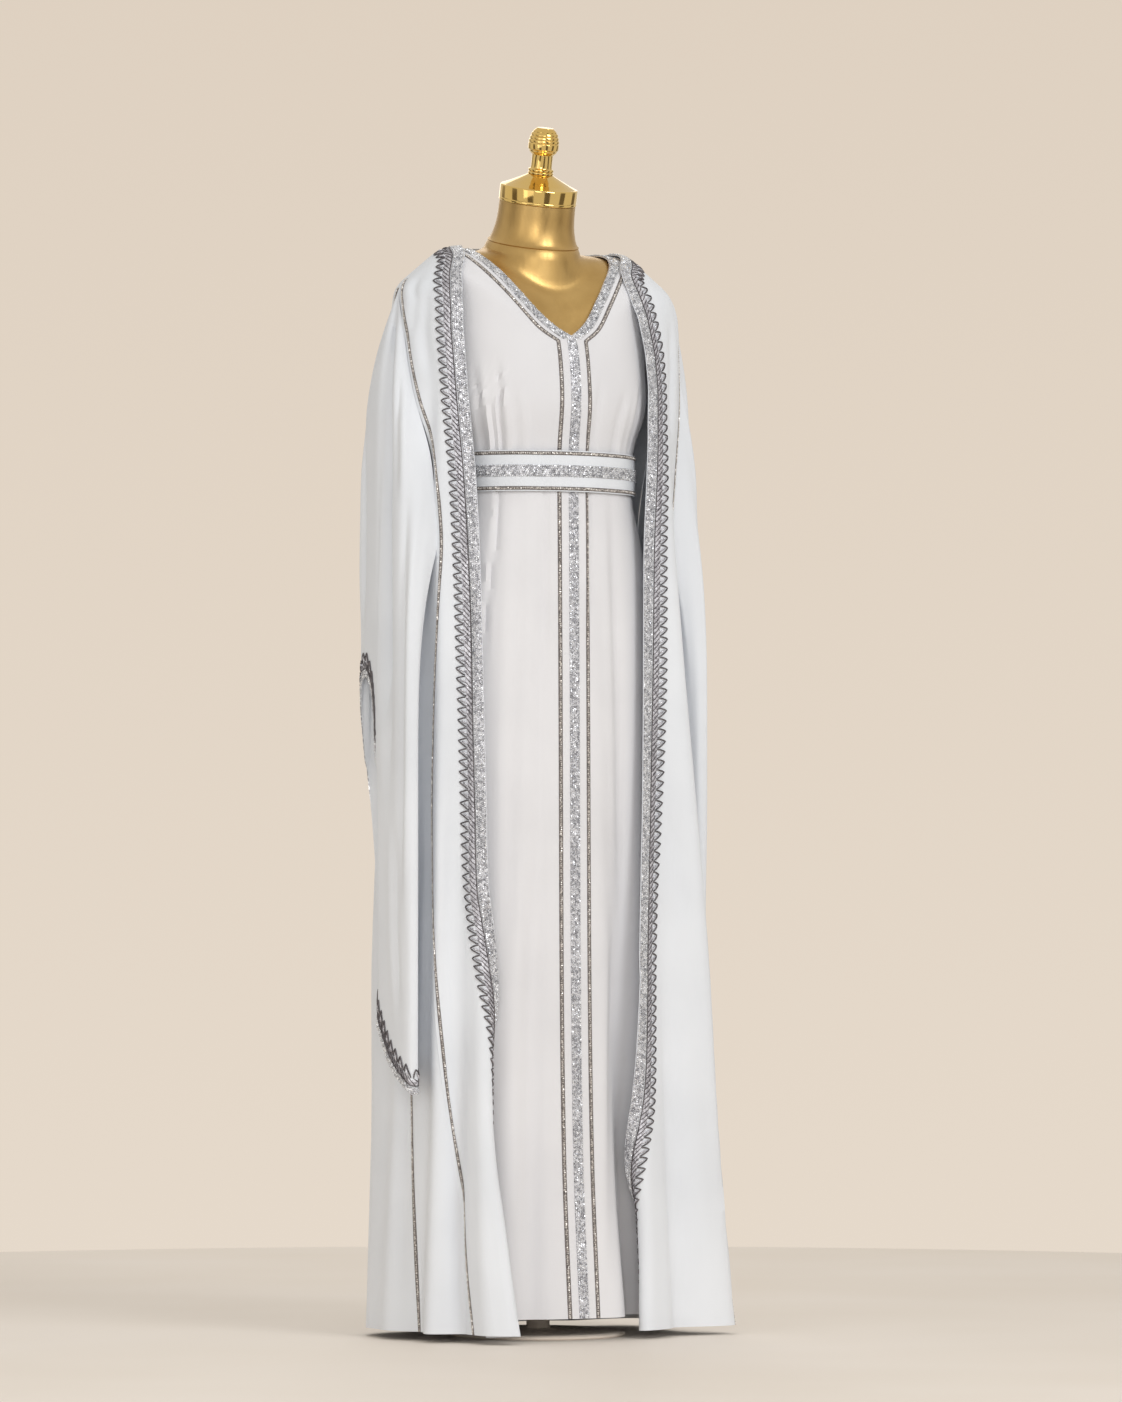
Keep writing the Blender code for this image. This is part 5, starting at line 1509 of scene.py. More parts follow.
class DressPart:
    """The dress: two fronts, a back, and its bands and lines."""

    BAND_HALF = 0.0072
    CENTRE_COLUMN = 0.0076
    LINE_INNER = 0.0175
    LINE_OUTER = 0.0245
    LINE_SHARES = (2.14, 2.86)
    NECK_BAND_EDGES = (0.0004, 0.013)
    NECK_BAND_LEVEL = 0.296
    NECK_TURN = {Side.RIGHT: (90.0, 41.0, 0.0), Side.LEFT: (90.0, 34.0, 0.0)}
    NECK_BEND = 1.5
    FRONT_STEP = 0.0050
    BACK_STEP = 0.0080

    def __init__(self, layer: Layer) -> None:
        """Work out the panels."""
        self.layer = layer
        self.levels = np.array(
            [0.0, 0.4, 0.8, 1.2, 1.6, 2.0, 2.5, 3.0, 3.5, 4.0, 4.5, 5.0, 5.5, 6.0]
            + [6.5, 7.0, 7.5, 8.0, 9.0, 9.6, 10.3, 11.0, 11.5, 12.0]
        )
        self.corner = int(np.flatnonzero(self.levels == 2.0)[0])
        self.fronts = {side: self.front(side) for side in Side}
        self.back = self.back_panel()

    @staticmethod
    def side_angle(level: Array) -> Array:
        """The armhole and side seam's angle, as a positive number of degrees."""
        return np.interp(level, (2.0, 2.6, 3.2, 4.0), (90.0, 77.0, 76.0, 90.0))

    def front(self, side: Side) -> Panel:
        """One front panel, from the centre front to the side seam."""
        layer, levels, way, corner = self.layer, self.levels, side.value, self.corner
        neck = np.interp(levels, (0.0, 1.0, 2.0), self.NECK_TURN[side])
        bend = np.sin(np.clip(levels, 0, 2) * np.pi) * self.NECK_BEND
        inner = np.stack([way * (neck - bend), levels], axis=-1)
        outside = outer_level(levels)
        outer = np.stack([way * self.side_angle(outside), outside], axis=-1)
        first = inner.copy()
        first[corner:] = shifted(layer, inner[corner:], SEAM_GAP / 2, way)
        first[corner] = inner[corner]
        first[corner:, 0] = first[corner + 1, 0]
        ends = dict(seam_start=True, level_end=True)
        paths = [first]
        for distance in (self.CENTRE_COLUMN, self.LINE_INNER, self.LINE_OUTER):
            paths.append(shifted(layer, inner, distance, way, **ends))
        low = levels >= 4.0
        outer[low] = shifted(layer, outer[low], SEAM_GAP / 2, -way, level_end=True)
        paths += filled_between(paths[-1], outer, 5)
        grid = opened_at_seam(layer, np.stack(paths, axis=1), -way)
        return Net(layer, grid, straight_columns=2).refined(self.FRONT_STEP)

    def back_panel(self) -> Panel:
        """The back panel, from one side seam round to the other."""
        levels = np.array(
            [0.0, self.NECK_BAND_LEVEL, 1.0, 1.5, 2.0, 2.5, 3.0, 3.5, 4.0, 4.5, 5.0, 5.5]
            + [6.0, 6.5, 7.0, 7.5, 8.0, 9.0, 9.6, 10.3, 11.0, 11.5, 12.0]
        )
        half_span = self.side_angle(levels)
        by_angle, _ = self.layer.gradients(180.0 - half_span, levels)
        half_span = half_span - SEAM_GAP / 2 / np.linalg.norm(by_angle, axis=-1)
        share = np.linspace(-1, 1, 11)
        angle = 180.0 + half_span[:, None] * share[None, :]
        grid = np.stack([angle, np.broadcast_to(levels[:, None], angle.shape)], axis=-1)
        return Net(self.layer, grid).refined(self.BACK_STEP)

    def neck_band(self) -> Panel:
        """The strip along the left front, the back neck and the right front."""
        distances = np.linspace(*self.NECK_BAND_EDGES, 6)
        columns = np.interp(distances, (0, self.CENTRE_COLUMN, self.LINE_INNER), (0, 1, 2))
        rows = np.linspace(self.corner, 0, 60)
        left = self.fronts[Side.LEFT].cut(rows, columns)
        right = self.fronts[Side.RIGHT].cut(rows[::-1], columns)
        last = self.back.columns[-1]
        back = self.back.cut(np.linspace(0.03, 1, 6), np.linspace(0, last, 60)).turned()
        return chained(left, back, right)

    def centre_band(self) -> Panel:
        """The strip that bridges both fronts from the neckline down to the hem."""
        right, left = self.fronts[Side.RIGHT], self.fronts[Side.LEFT]
        rows = np.append(self.corner, right.rows[right.rows > self.corner])
        share = self.BAND_HALF / self.CENTRE_COLUMN
        right = right.cut(rows, np.linspace(share, 0, 4))
        left = left.cut(rows, np.linspace(0, share, 4))
        middle = (right.points[:, -1:] + left.points[:, :1]) / 2
        facing = unit(right.normals[:, -1:] + left.normals[:, :1])
        points = np.concatenate([right.points[:, :-1], middle, left.points[:, 1:]], axis=1)
        normals = np.concatenate([right.normals[:, :-1], facing, left.normals[:, 1:]], axis=1)
        return Panel(points, normals, rows, np.arange(points.shape[1], dtype=float))

    def build(self, sewing: Sewing) -> None:
        """Make the cloth with its trims."""
        bands = sewing.stones("dress_neck_band", self.neck_band(), BAND)
        bands += sewing.stones("dress_centre_band", self.centre_band(), BAND)
        for side, panel in self.fronts.items():
            columns = np.linspace(*self.LINE_SHARES, 4)
            trims = sewing.stones(f"dress_line_{side.letter}", panel.cut(panel.rows, columns), LINE)
            if side is Side.RIGHT:
                trims += bands
            sew_cloth(f"dress_front_{side.letter}", panel, sewing.finishes["dress"])
        sew_cloth("dress_back", self.back, sewing.finishes["dress"])


class BeltPart:
    """The belt: a ring of cloth with a wide band and two edge lines."""

    WIDTH = 0.056
    BAND = 0.016
    LINE = 0.0050
    LINE_INSET = 0.004
    LIFT = 0.0060
    HEIGHT = 1.185
    CROWN = 0.0011
    WAVE = 0.0005
    WAVES = 7
    WAVE_START = 40
    AROUND = 210
    ACROSS = 21

    def __init__(self, layer: Layer) -> None:
        """Work out the ring: columns are metres down from its upper edge."""
        angle = np.arange(self.AROUND) * 360.0 / self.AROUND
        level = np.interp(-self.HEIGHT, -layer.columns[:, 0], layer.levels)
        columns = np.linspace(0, self.WIDTH, self.ACROSS)
        share = columns / self.WIDTH * 2 - 1
        facing = layer.normal(angle, np.full_like(angle, level))
        facing[:, 2] = 0.0
        facing = unit(facing)[:, None]
        ring = layer.point(angle, np.full_like(angle, level))[:, None]
        turn = np.radians(angle * self.WAVES + self.WAVE_START)
        wave = self.WAVE * np.sin(turn)[:, None] * share
        out = self.LIFT + self.CROWN * (1 - share**2) + wave
        points = ring + facing * out[..., None]
        points[..., 2] = self.HEIGHT + self.WIDTH / 2 - columns
        normals = grid_normals(points, np.broadcast_to(facing, points.shape), ring=True)
        self.panel = Panel(points, normals, np.arange(float(self.AROUND)), columns, ring=True)

    def strip(self, middle: float, width: float) -> Panel:
        """The ring round the belt at some distance down from its upper edge."""
        return self.panel.cut(None, np.linspace(middle - width / 2, middle + width / 2, 5))

    def build(self, sewing: Sewing) -> None:
        """Make the cloth with its trims."""
        upper = self.strip(self.LINE_INSET, self.LINE)
        lower = self.strip(self.WIDTH - self.LINE_INSET, self.LINE)
        trims = sewing.stones("belt_centre_band", self.strip(self.WIDTH / 2, self.BAND), BAND)
        trims += sewing.stones("belt_line_upper", upper, LINE)
        trims += sewing.stones("belt_line_lower", lower, LINE)
        white = sewing.finishes["robe"]
        sew_cloth("belt_cloth", self.panel, white)


class RobePart:
    """The open robe's fronts, side panels and back."""

    EDGE_BAND = 0.0165
    BRAID_VALLEY = 0.0280
    BRAID_TIP = 0.0395
    BAND_EDGES = (0.0006, 0.0152)
    TAPE_EDGES = (0.0168, 0.0264)
    BRAID_PITCH = 0.0141
    LINE_INNER = 0.0095
    LINE_OUTER = 0.0025
    LINE_SHARES = (0.16, 0.84)
    SHOULDER_LENGTH = 0.0527
    EXTRA_ROWS = {Side.RIGHT: (), Side.LEFT: (0.25, 0.75, 1.25)}
    BACK_DROP = {Side.RIGHT: 0.0, Side.LEFT: 0.36}
    LEVELS = np.array(
        [0.0, 0.5, 1.0, 1.5, 2.0, 2.5, 3.0, 3.5, 4.0, 4.5, 5.0, 5.5, 6.0]
        + [6.5, 7.25, 8.0, 8.5, 9.0, 9.5, 10.0, 10.5, 11.0, 11.5, 12.0]
    )
    TIP_ROW = 4.0
    BRAID_BASE = 0.0168
    FRONT_STEP = 0.0047
    SIDE_STEP = 0.0050
    BACK_STEP = 0.0061

    def __init__(self, layer: Layer) -> None:
        """Work out the panels."""
        self.layer = layer
        self.fronts = {side: self.front(side) for side in Side}
        self.sides = {side: self.side_panel(side) for side in Side}
        self.back = self.back_panel()

    def edge_path(self, side: Side, levels: Array) -> tuple[Array, Array]:
        """A front's free edge with what is turned under, and its turns in radians."""
        start = self.layer.edge(side, levels)[0] * side.value
        top = float(np.interp(-SIDE_ANGLE, -start[:4], levels[:4]))
        at = np.where(levels < 1.0, top + (1.0 - top) * levels, levels)
        angle, reach, turned, _, _ = self.layer.edge(side, at)
        angle[0] = side.value * SIDE_ANGLE
        turns = np.radians(turned)
        angle = angle - side.value * np.degrees(turned_width(turns) / reach)
        return np.stack([angle, at], axis=-1), turns

    def front(self, side: Side) -> Panel:
        """One robe front, from its free edge to its seam."""
        layer, way = self.layer, side.value
        levels = np.sort(np.concatenate([self.LEVELS, self.EXTRA_ROWS[side]]))
        inner, turns = self.edge_path(side, levels)
        outside = outer_level(levels)
        outer = np.stack([layer.edge(side, outside)[3], outside], axis=-1)
        outer[0] = (way * SIDE_ANGLE, TIP_LEVEL)
        ends = dict(seam_start=True, level_end=True)
        distances = (self.EDGE_BAND, self.BRAID_VALLEY, self.BRAID_TIP)
        paths = [inner] + [shifted(layer, inner, d, way, **ends) for d in distances]
        seams = []
        for distance in (self.LINE_INNER, self.LINE_OUTER, SEAM_GAP / 2):
            path = shifted(layer, outer, distance, -way, level_end=True)
            path[0] = (way * SIDE_ANGLE, TIP_LEVEL - distance / self.SHOULDER_LENGTH)
            seams.append(path)
        paths += filled_between(paths[-1], seams[0], 5) + seams[1:]
        grid = opened_at_seam(layer, np.stack(paths, axis=1), -way)
        return Net(layer, grid).refined(self.FRONT_STEP, turns)

    def side_panel(self, side: Side) -> Panel:
        """The panel under one sleeve, between the front and back seams."""
        layer, way = self.layer, side.value
        levels = self.LEVELS[self.LEVELS >= UNDERARM_LEVEL]
        _, _, _, front, back = layer.edge(side, levels)
        seams = (np.stack([front, levels], -1), np.stack([back, levels], -1))
        first = shifted(layer, seams[0], SEAM_GAP / 2, way, level_end=True)
        last = shifted(layer, seams[1], SEAM_GAP / 2, -way, level_end=True)
        grid = np.stack([first] + filled_between(first, last, 5), axis=1)
        return Net(layer, grid).refined(self.SIDE_STEP)

    def back_panel(self) -> Panel:
        """The back panel, from the wearer's left seam round to the right one."""
        lines = {}
        for side in (Side.LEFT, Side.RIGHT):
            seam = np.array(self.layer.edge(side, self.LEVELS)[4])
            seam[self.LEVELS <= TIP_LEVEL] = side.value * SIDE_ANGLE
            drop = self.BACK_DROP[side] * np.clip(1 - self.LEVELS, 0, 1)
            path = np.stack([seam % 360.0, self.LEVELS + drop], axis=-1)
            by_angle, _ = self.layer.gradients(path[:, 0], path[:, 1])
            degree = np.linalg.norm(by_angle, axis=-1)
            lines[side] = []
            for distance in (SEAM_GAP / 2, self.LINE_OUTER, self.LINE_INNER):
                moved = path.copy()
                moved[:, 0] += side.value * distance / degree
                lines[side].append(moved)
        left, right = lines[Side.LEFT], lines[Side.RIGHT]
        share = np.linspace(0, 1, 12)[1:-1]
        middle = [left[2] + (right[2] - left[2]) * s for s in share]
        grid = np.stack(left + middle + right[::-1], axis=1)
        return Net(self.layer, grid).refined(self.BACK_STEP)

    def edge_strip(self, side: Side, first: float, last: float, count: int) -> Panel:
        """The cloth between two distances from a front's free edge."""
        knots = (0.0, self.EDGE_BAND, self.BRAID_VALLEY, self.BRAID_TIP)
        columns = np.interp(np.linspace(first, last, count), knots, (0, 1, 2, 3))
        panel = self.fronts[side]
        return panel.cut(panel.rows, columns)

    def build(self, sewing: Sewing) -> None:
        """Make the cloth with its trims."""
        white = sewing.finishes["robe"]
        for side, panel in self.fronts.items():
            letter = side.letter
            band = self.edge_strip(side, *self.BAND_EDGES, 6)
            tape = self.edge_strip(side, *self.TAPE_EDGES, 5)
            whole = Strip(self.edge_strip(side, 0.0, self.BRAID_TIP, 14))
            braid = Braid(whole, self.BRAID_BASE, 1.0, self.BRAID_PITCH)
            columns = panel.columns[-1] - 2 + np.linspace(*self.LINE_SHARES, 4)
            trims = sewing.stones(f"robe_edge_band_{letter}", band, BAND)
            trims += sewing.braid(f"robe_edge_braid_{letter}", tape, braid)
            trims += sewing.stones(f"robe_front_line_{letter}", panel.cut(panel.rows, columns), LINE)
            sew_cloth(f"robe_front_{letter}", panel, white)
            sew_cloth(f"robe_side_{letter}", self.sides[side], white)
        rows = self.back.rows[self.back.rows >= self.TIP_ROW]
        shares = np.linspace(*self.LINE_SHARES, 4)
        first, last = 1 + shares, self.back.columns[-1] - 1 - shares
        trims = sewing.stones("robe_back_line_L", self.back.cut(rows, first), LINE)
        trims += sewing.stones("robe_back_line_R", self.back.cut(rows, last[::-1]), LINE)
        sew_cloth("robe_back", self.back, white)


@dataclass(frozen=True)
class Station:
    """One line down a sleeve, from the armhole to the cuff."""

    armhole: float
    hang_turn: float
    cuff_turn: float
    cuff_z: float


STATIONS = (
    Station(0.00, 0.000, -0.035, 0.800),
    Station(0.22, 0.060, -0.066, 0.690),
    Station(0.42, 0.120, -0.070, 0.580),
    Station(0.60, 0.180, -0.062, 0.480),
    Station(0.76, 0.235, 0.010, 0.405),
    Station(0.90, 0.300, 0.100, 0.360),
    Station(1.05, 0.370, 0.250, 0.335),
    Station(1.35, 0.440, 0.400, 0.340),
    Station(1.65, 0.510, 0.500, 0.370),
    Station(1.95, 0.580, 0.570, 0.450),
    Station(2.15, 0.650, 0.630, 0.560),
    Station(2.32, 0.710, 0.690, 0.690),
    Station(2.48, 0.770, 0.760, 0.800),
    Station(2.64, 0.830, 0.815, 0.900),
    Station(2.80, 0.890, 0.880, 0.905),
    Station(2.91, 0.945, 0.940, 0.880),
)


class SleevePart:
    """One hanging sleeve, with the cuff at the grid's last column."""

    OUT = {Side.RIGHT: 0.2265, Side.LEFT: 0.2350}
    CENTRE_Y = {Side.RIGHT: 0.0, Side.LEFT: 0.034}
    HALF_THICKNESS = 0.0145
    HALF_LENGTH = 0.075
    HEAD = 0.42
    ROUNDNESS = 0.6
    TURN_POWER = 1.5
    CREASE_FREE = 0.12
    AROUND = 144
    DOWN = 122
    GROOVE_Y = -0.008
    GROOVE_WIDTH = 0.0115
    GROOVE_DEPTH = 0.0165
    GROOVE_FADE = (0.800, 0.930)
    ROLL_START = -0.012
    ROLL_ARC = 0.016
    ROLL_TURN = math.radians(172.0)
    ROLL_HEIGHTS = (0.405, 0.465, 0.735, 0.800)
    PERIMETER = 0.33
    BAND_EDGES = (0.0006, 0.0100)
    TAPE_EDGES = (0.0122, 0.0200)
    CUFF_TIP = 0.0350
    BRAID_BASE = 0.0118
    BRAID_SIZE = 1.04
    BRAID_PITCH = 0.0165

    def __init__(self, robe: Layer, side: Side) -> None:
        """Work out the panel."""
        self.layer, self.side = robe, side
        self.panel = self.tube()

    def armhole(self, place: Array) -> tuple[Array, Array]:
        """Points of the armhole's rim, and the ways out of the robe there."""
        tip, low = TIP_LEVEL, UNDERARM_LEVEL
        down = tip + (low - tip) * place
        up = low - (low - tip) * (place - 2.0)
        level = np.where(place <= 1.0, down, np.where(place <= 2.0, low, up))
        _, _, _, front, back = self.layer.edge(self.side, level)
        under = front + (back - front) * np.clip(place - 1.0, 0, 1)
        angle = np.where(place <= 1.0, front, np.where(place <= 2.0, under, back))
        return self.layer.point(angle, level), self.layer.normal(angle, level)

    def loop(self, turn: Array, z: Array) -> Array:
        """Points of the hanging sleeve's flat loop, seen from above."""
        around = 2 * math.pi * turn
        across = np.copysign(np.abs(np.cos(around)) ** self.ROUNDNESS, np.cos(around))
        y = self.CENTRE_Y[self.side] - self.HALF_LENGTH * np.sin(around)
        bell = np.exp(-(((y - self.GROOVE_Y) / self.GROOVE_WIDTH) ** 2))
        low, high = self.GROOVE_FADE
        deep = self.GROOVE_DEPTH * smooth_step((z - low) / (high - low))
        groove = deep * bell * np.maximum(across, 0.0)
        out = self.OUT[self.side] + self.HALF_THICKNESS * across - groove
        return np.stack([self.side.value * out, y], axis=-1)

    def rolled(self, turn: Array, z: Array) -> Array:
        """The loop's points, with the slit's front edge rolled in towards the body."""
        low, low_full, high_full, high = self.ROLL_HEIGHTS
        share = smooth_step((z - low) / (low_full - low)) * smooth_step((high - z) / (high - high_full))
        flat = self.loop(turn, z)
        bend = np.maximum(self.ROLL_TURN * share, 1e-4)
        start = self.loop(np.full_like(turn, self.ROLL_START), z)
        run = np.maximum(self.ROLL_START - turn, 0.0) * 2 * math.pi * self.HALF_LENGTH
        arc = bend * np.clip(run / self.ROLL_ARC, 0, 1)
        beyond = np.maximum(run - self.ROLL_ARC, 0.0)
        radius = self.ROLL_ARC / bend
        back = radius * np.sin(arc) + beyond * np.cos(arc)
        inward = radius * (1 - np.cos(arc)) + beyond * np.sin(arc)
        curled = start + np.stack([-self.side.value * inward, back], axis=-1)
        mix = (smooth_step(share * 8) * (run > 0))[..., None]
        return flat * (1 - mix) + curled * mix

    def crease_depth(self, turn: Array, z: Array) -> Array:
        """How far the creases move the cloth out, below the armhole's rim."""
        depth = np.zeros(turn.shape)
        for crease in SLEEVE_CREASES:
            knots = np.array(crease.line)
            knots[:, 0] *= self.PERIMETER
            depth += Layer.crease_shape(crease, knots, turn * self.PERIMETER, z)
        return depth

    def tube(self) -> Panel:
        """The sleeve's grid: rows go round it and columns down it."""
        table = np.array([astuple(station) for station in STATIONS])
        step = np.array([3.0, 1.0, 1.0, 0.0])
        wrapped = np.concatenate([table[-2:] - step, table, table[:3] + step])
        knots = np.arange(-2.0, len(STATIONS) + 3.0)
        around = np.arange(self.AROUND) * len(STATIONS) / self.AROUND
        armhole, hang, cuff, cuff_z = curve_through(knots, wrapped, around).T
        rim, out = self.armhole(np.clip(armhole, 0.0, 3.0))
        rim = (rim + out * LAP_LIFT)[:, None]
        part = np.linspace(0, 1, self.DOWN)[None, :]
        share = np.clip(part / self.HEAD, 0, 1)
        head = (1 - (1 - share) ** 3)[..., None]
        turn = hang[:, None] + (cuff - hang)[:, None] * part**self.TURN_POWER
        height = rim[..., 2] + (cuff_z[:, None] - rim[..., 2]) * part
        flat = self.rolled(turn, height)
        spread = rim[..., :2] * (1 - head) + flat * head
        points = np.concatenate([spread, height[..., None]], axis=-1)
        out_way = np.zeros_like(points)
        out_way[..., :2] = points[..., :2] - points[..., :2].mean(axis=0)
        normals = grid_normals(points, out_way, ring=True)
        free = smooth_step(part / self.CREASE_FREE)
        points = points + normals * (self.crease_depth(turn, height) * free)[..., None]
        normals = grid_normals(points, normals, ring=True)
        return Panel(points, normals, around, part[0], ring=True)

    def cuff(self) -> Panel:
        """The ring along the cuff, whose columns are metres up from its edge."""
        points = self.panel.points
        spacing = np.linalg.norm(points[:, -1] - points[:, -4], axis=-1) / 3
        distances = np.linspace(0, self.CUFF_TIP, 15)
        at = self.DOWN - 1 - distances[None, :] / spacing[:, None]
        low = np.clip(at.astype(int), 0, self.DOWN - 2)
        part = (at - low)[..., None]
        row = np.arange(self.AROUND)[:, None]
        both = np.concatenate([points, self.panel.normals], axis=-1)
        both = both[row, low] * (1 - part) + both[row, low + 1] * part
        normals = unit(both[..., 3:])
        return Panel(both[..., :3], normals, self.panel.rows, distances, ring=True)

    def build(self, sewing: Sewing) -> None:
        """Make the cloth with its trims."""
        letter = self.side.letter
        cuff = self.cuff()
        band = cuff.cut(None, np.linspace(*self.BAND_EDGES, 5))
        tape = cuff.cut(None, np.linspace(*self.TAPE_EDGES, 4))
        braid = Braid(Strip(cuff), self.BRAID_BASE, self.BRAID_SIZE, self.BRAID_PITCH)
        trims = sewing.stones(f"cuff_band_{letter}", band, BAND)
        trims += sewing.braid(f"cuff_braid_{letter}", tape, braid)
        sew_cloth(f"sleeve_{letter}", self.panel, sewing.finishes["robe"])


def stacked_loops(loops: Array) -> Shape:
    """A closed shape through loops of points that go up, with a cap at both ends."""
    rows, sides = loops.shape[:2]
    index = np.arange(rows * sides).reshape(rows, sides)
    after = np.roll(index, -1, axis=1)
    quads = np.stack([index[:-1], after[:-1], after[1:], index[1:]], axis=-1).reshape(-1, 4)
    faces = quads.tolist() + [index[0, ::-1].tolist(), index[-1].tolist()]
    return Shape(loops.reshape(-1, 3), faces)


@dataclass(frozen=True)
class Profile:
    """The outline of a turned part, as (radius, height) corners with small roundings."""

    corners: tuple[tuple[float, float], ...]
    rounding: float = 0.0007

    def line(self) -> Array:
        """The outline with each corner cut by a three-point arc."""
        knots = np.array(self.corners)
        out = [knots[:1]]
        for before, here, after in zip(knots[:-2], knots[1:-1], knots[2:]):
            back, ahead = before - here, after - here
            reach = min(self.rounding, 0.4 * np.linalg.norm(back), 0.4 * np.linalg.norm(ahead))
            first = here + unit(back) * reach
            last = here + unit(ahead) * reach
            out.append(np.stack([first, 0.25 * first + 0.5 * here + 0.25 * last, last]))
        out.append(knots[-1:])
        return np.concatenate(out)


def lathed(profile: Profile, foot: Array, axis: Array, sides: int) -> Shape:
    """Turn a profile about a leaning axis.

    Args:
        profile: The outline, from the bottom up.
        foot: The axis's point where the heights start.
        axis: The axis at length one.
        sides: How many faces go round.

    Returns:
        The closed shape.
    """
    right = unit(np.cross((0.0, 1.0, 0.0), axis))
    ahead = np.cross(axis, right)
    turn = np.arange(sides) * 2 * math.pi / sides
    spokes = np.cos(turn)[:, None] * right + np.sin(turn)[:, None] * ahead
    line = profile.line()
    return stacked_loops(foot + line[:, None, 1:] * axis + line[:, None, :1] * spokes[None])


class DressForm:
    """The limbless form: torso, neck, cap, finial, pole and base."""

    SIDES = 120
    ROW_SPANS = 5
    BOTTOM = 0.840
    FRONT_INSET = 0.0035
    INSETS = (
        (3.0, 0.0110), (2.4, 0.0080), (2.0, 0.0050), (1.5, 0.0045),
        (1.0, 0.0036), (0.5, 0.0042), (0.0, 0.0024),
    )
    TORSO_RINGS = (
        (BOTTOM, 0.143, 0.090, 0.108),
        (0.960, 0.146, 0.096, 0.108),
        (1.050, 0.138, 0.096, 0.104),
        (1.130, 0.121, 0.092, 0.092),
        (1.185, 0.116, 0.090, 0.086),
        (1.240, 0.126, 0.096, 0.094),
        (1.290, 0.142, 0.104, 0.104),
    )
    NECK_FOOT = (-0.0015, 0.0143, 1.500)
    NECK_LEAN = (0.0, -0.241, 1.0)
    NECK_RINGS = (
        (0.0668, -0.0020), (0.0650, 0.0030), (0.0636, 0.0060), (0.0624, 0.0078),
        (0.0630, 0.0086), (0.0634, 0.0094), (0.0616, 0.0108), (0.0598, 0.0135),
        (0.0580, 0.0180), (0.0564, 0.0240), (0.0550, 0.0300), (0.0538, 0.0380),
        (0.0529, 0.0500), (0.0526, 0.0655),
    )
    NECK_HEIGHT = 0.0655
    CAP = Profile((
        (0.0520, 0.0), (0.0532, 0.0002), (0.0540, 0.0012), (0.0540, 0.0036), (0.0536, 0.0042),
        (0.0540, 0.0048), (0.0540, 0.0210), (0.0531, 0.0227), (0.0515, 0.0231), (0.0420, 0.0272),
        (0.0300, 0.0331), (0.0200, 0.0382), (0.0172, 0.0398),
    ))
    CAP_HEIGHT = 0.0398
    FINIAL = Profile((
        (0.0160, 0.0), (0.0176, 0.0004), (0.0178, 0.0024), (0.0164, 0.0036), (0.0176, 0.0048),
        (0.0176, 0.0070), (0.0150, 0.0084), (0.0146, 0.0110), (0.0145, 0.0190), (0.0147, 0.0272),
        (0.0166, 0.0288), (0.0188, 0.0312), (0.0198, 0.0336), (0.0212, 0.0350), (0.0213, 0.0425),
        (0.0204, 0.0434), (0.0213, 0.0446), (0.0211, 0.0476), (0.0198, 0.0484), (0.0204, 0.0496),
        (0.0198, 0.0524), (0.0184, 0.0532), (0.0190, 0.0544), (0.0180, 0.0574), (0.0164, 0.0582),
        (0.0166, 0.0592), (0.0138, 0.0622), (0.0122, 0.0632), (0.0118, 0.0643), (0.0020, 0.0645),
    ), rounding=0.0005)
    BASE_HEIGHT = 0.010
    BASE = Profile((
        (0.118, 0.0), (0.120, 0.0010), (0.120, 0.0040), (0.116, 0.0060), (0.060, 0.0074),
        (0.034, 0.0084), (0.028, 0.0100), (0.018, 0.0100),
    ))
    POLE_RADIUS = 0.016

    def __init__(self, dress: Layer) -> None:
        """Keep the dress layer that the torso is shaped to."""
        self.dress = dress

    def torso(self) -> Shape:
        """The torso and neck, as loops joined by smooth lines."""
        turn = np.arange(self.SIDES) * 2 * math.pi / self.SIDES
        angles = np.degrees(turn)
        loops = []
        for z, half_width, front, back in self.TORSO_RINGS:
            depth = np.where(np.cos(turn) > 0, front, back)
            radius = 1 / np.sqrt((np.sin(turn) / half_width) ** 2 + (np.cos(turn) / depth) ** 2)
            loop = [radius * np.sin(turn), -radius * np.cos(turn), np.full_like(turn, z)]
            loops.append(np.stack(loop, axis=-1))
        for level, inset in self.INSETS:
            at = np.full_like(turn, level)
            depth = inset + self.FRONT_INSET * np.cos(turn) ** 2
            normals = self.dress.normal(angles, at)
            loops.append(self.dress.point(angles, at) - normals * depth[:, None])
        axis = unit(np.array(self.NECK_LEAN))
        flat = np.stack([np.sin(turn), -np.cos(turn), np.zeros_like(turn)], axis=-1)
        for radius, height in self.NECK_RINGS:
            circle = flat * radius
            circle[:, 2] = -(circle @ axis) / axis[2]
            loops.append(np.array(self.NECK_FOOT) + axis * height + circle)
        knots = np.arange(float(len(loops)))
        body = len(self.TORSO_RINGS) + len(self.INSETS)
        fine = np.linspace(0, body, body * self.ROW_SPANS + 1)
        at = np.concatenate([fine, knots[body + 1 :]])
        smooth = curve_through(knots, np.stack(loops).reshape(len(loops), -1), at)
        return stacked_loops(smooth.reshape(len(at), self.SIDES, 3))

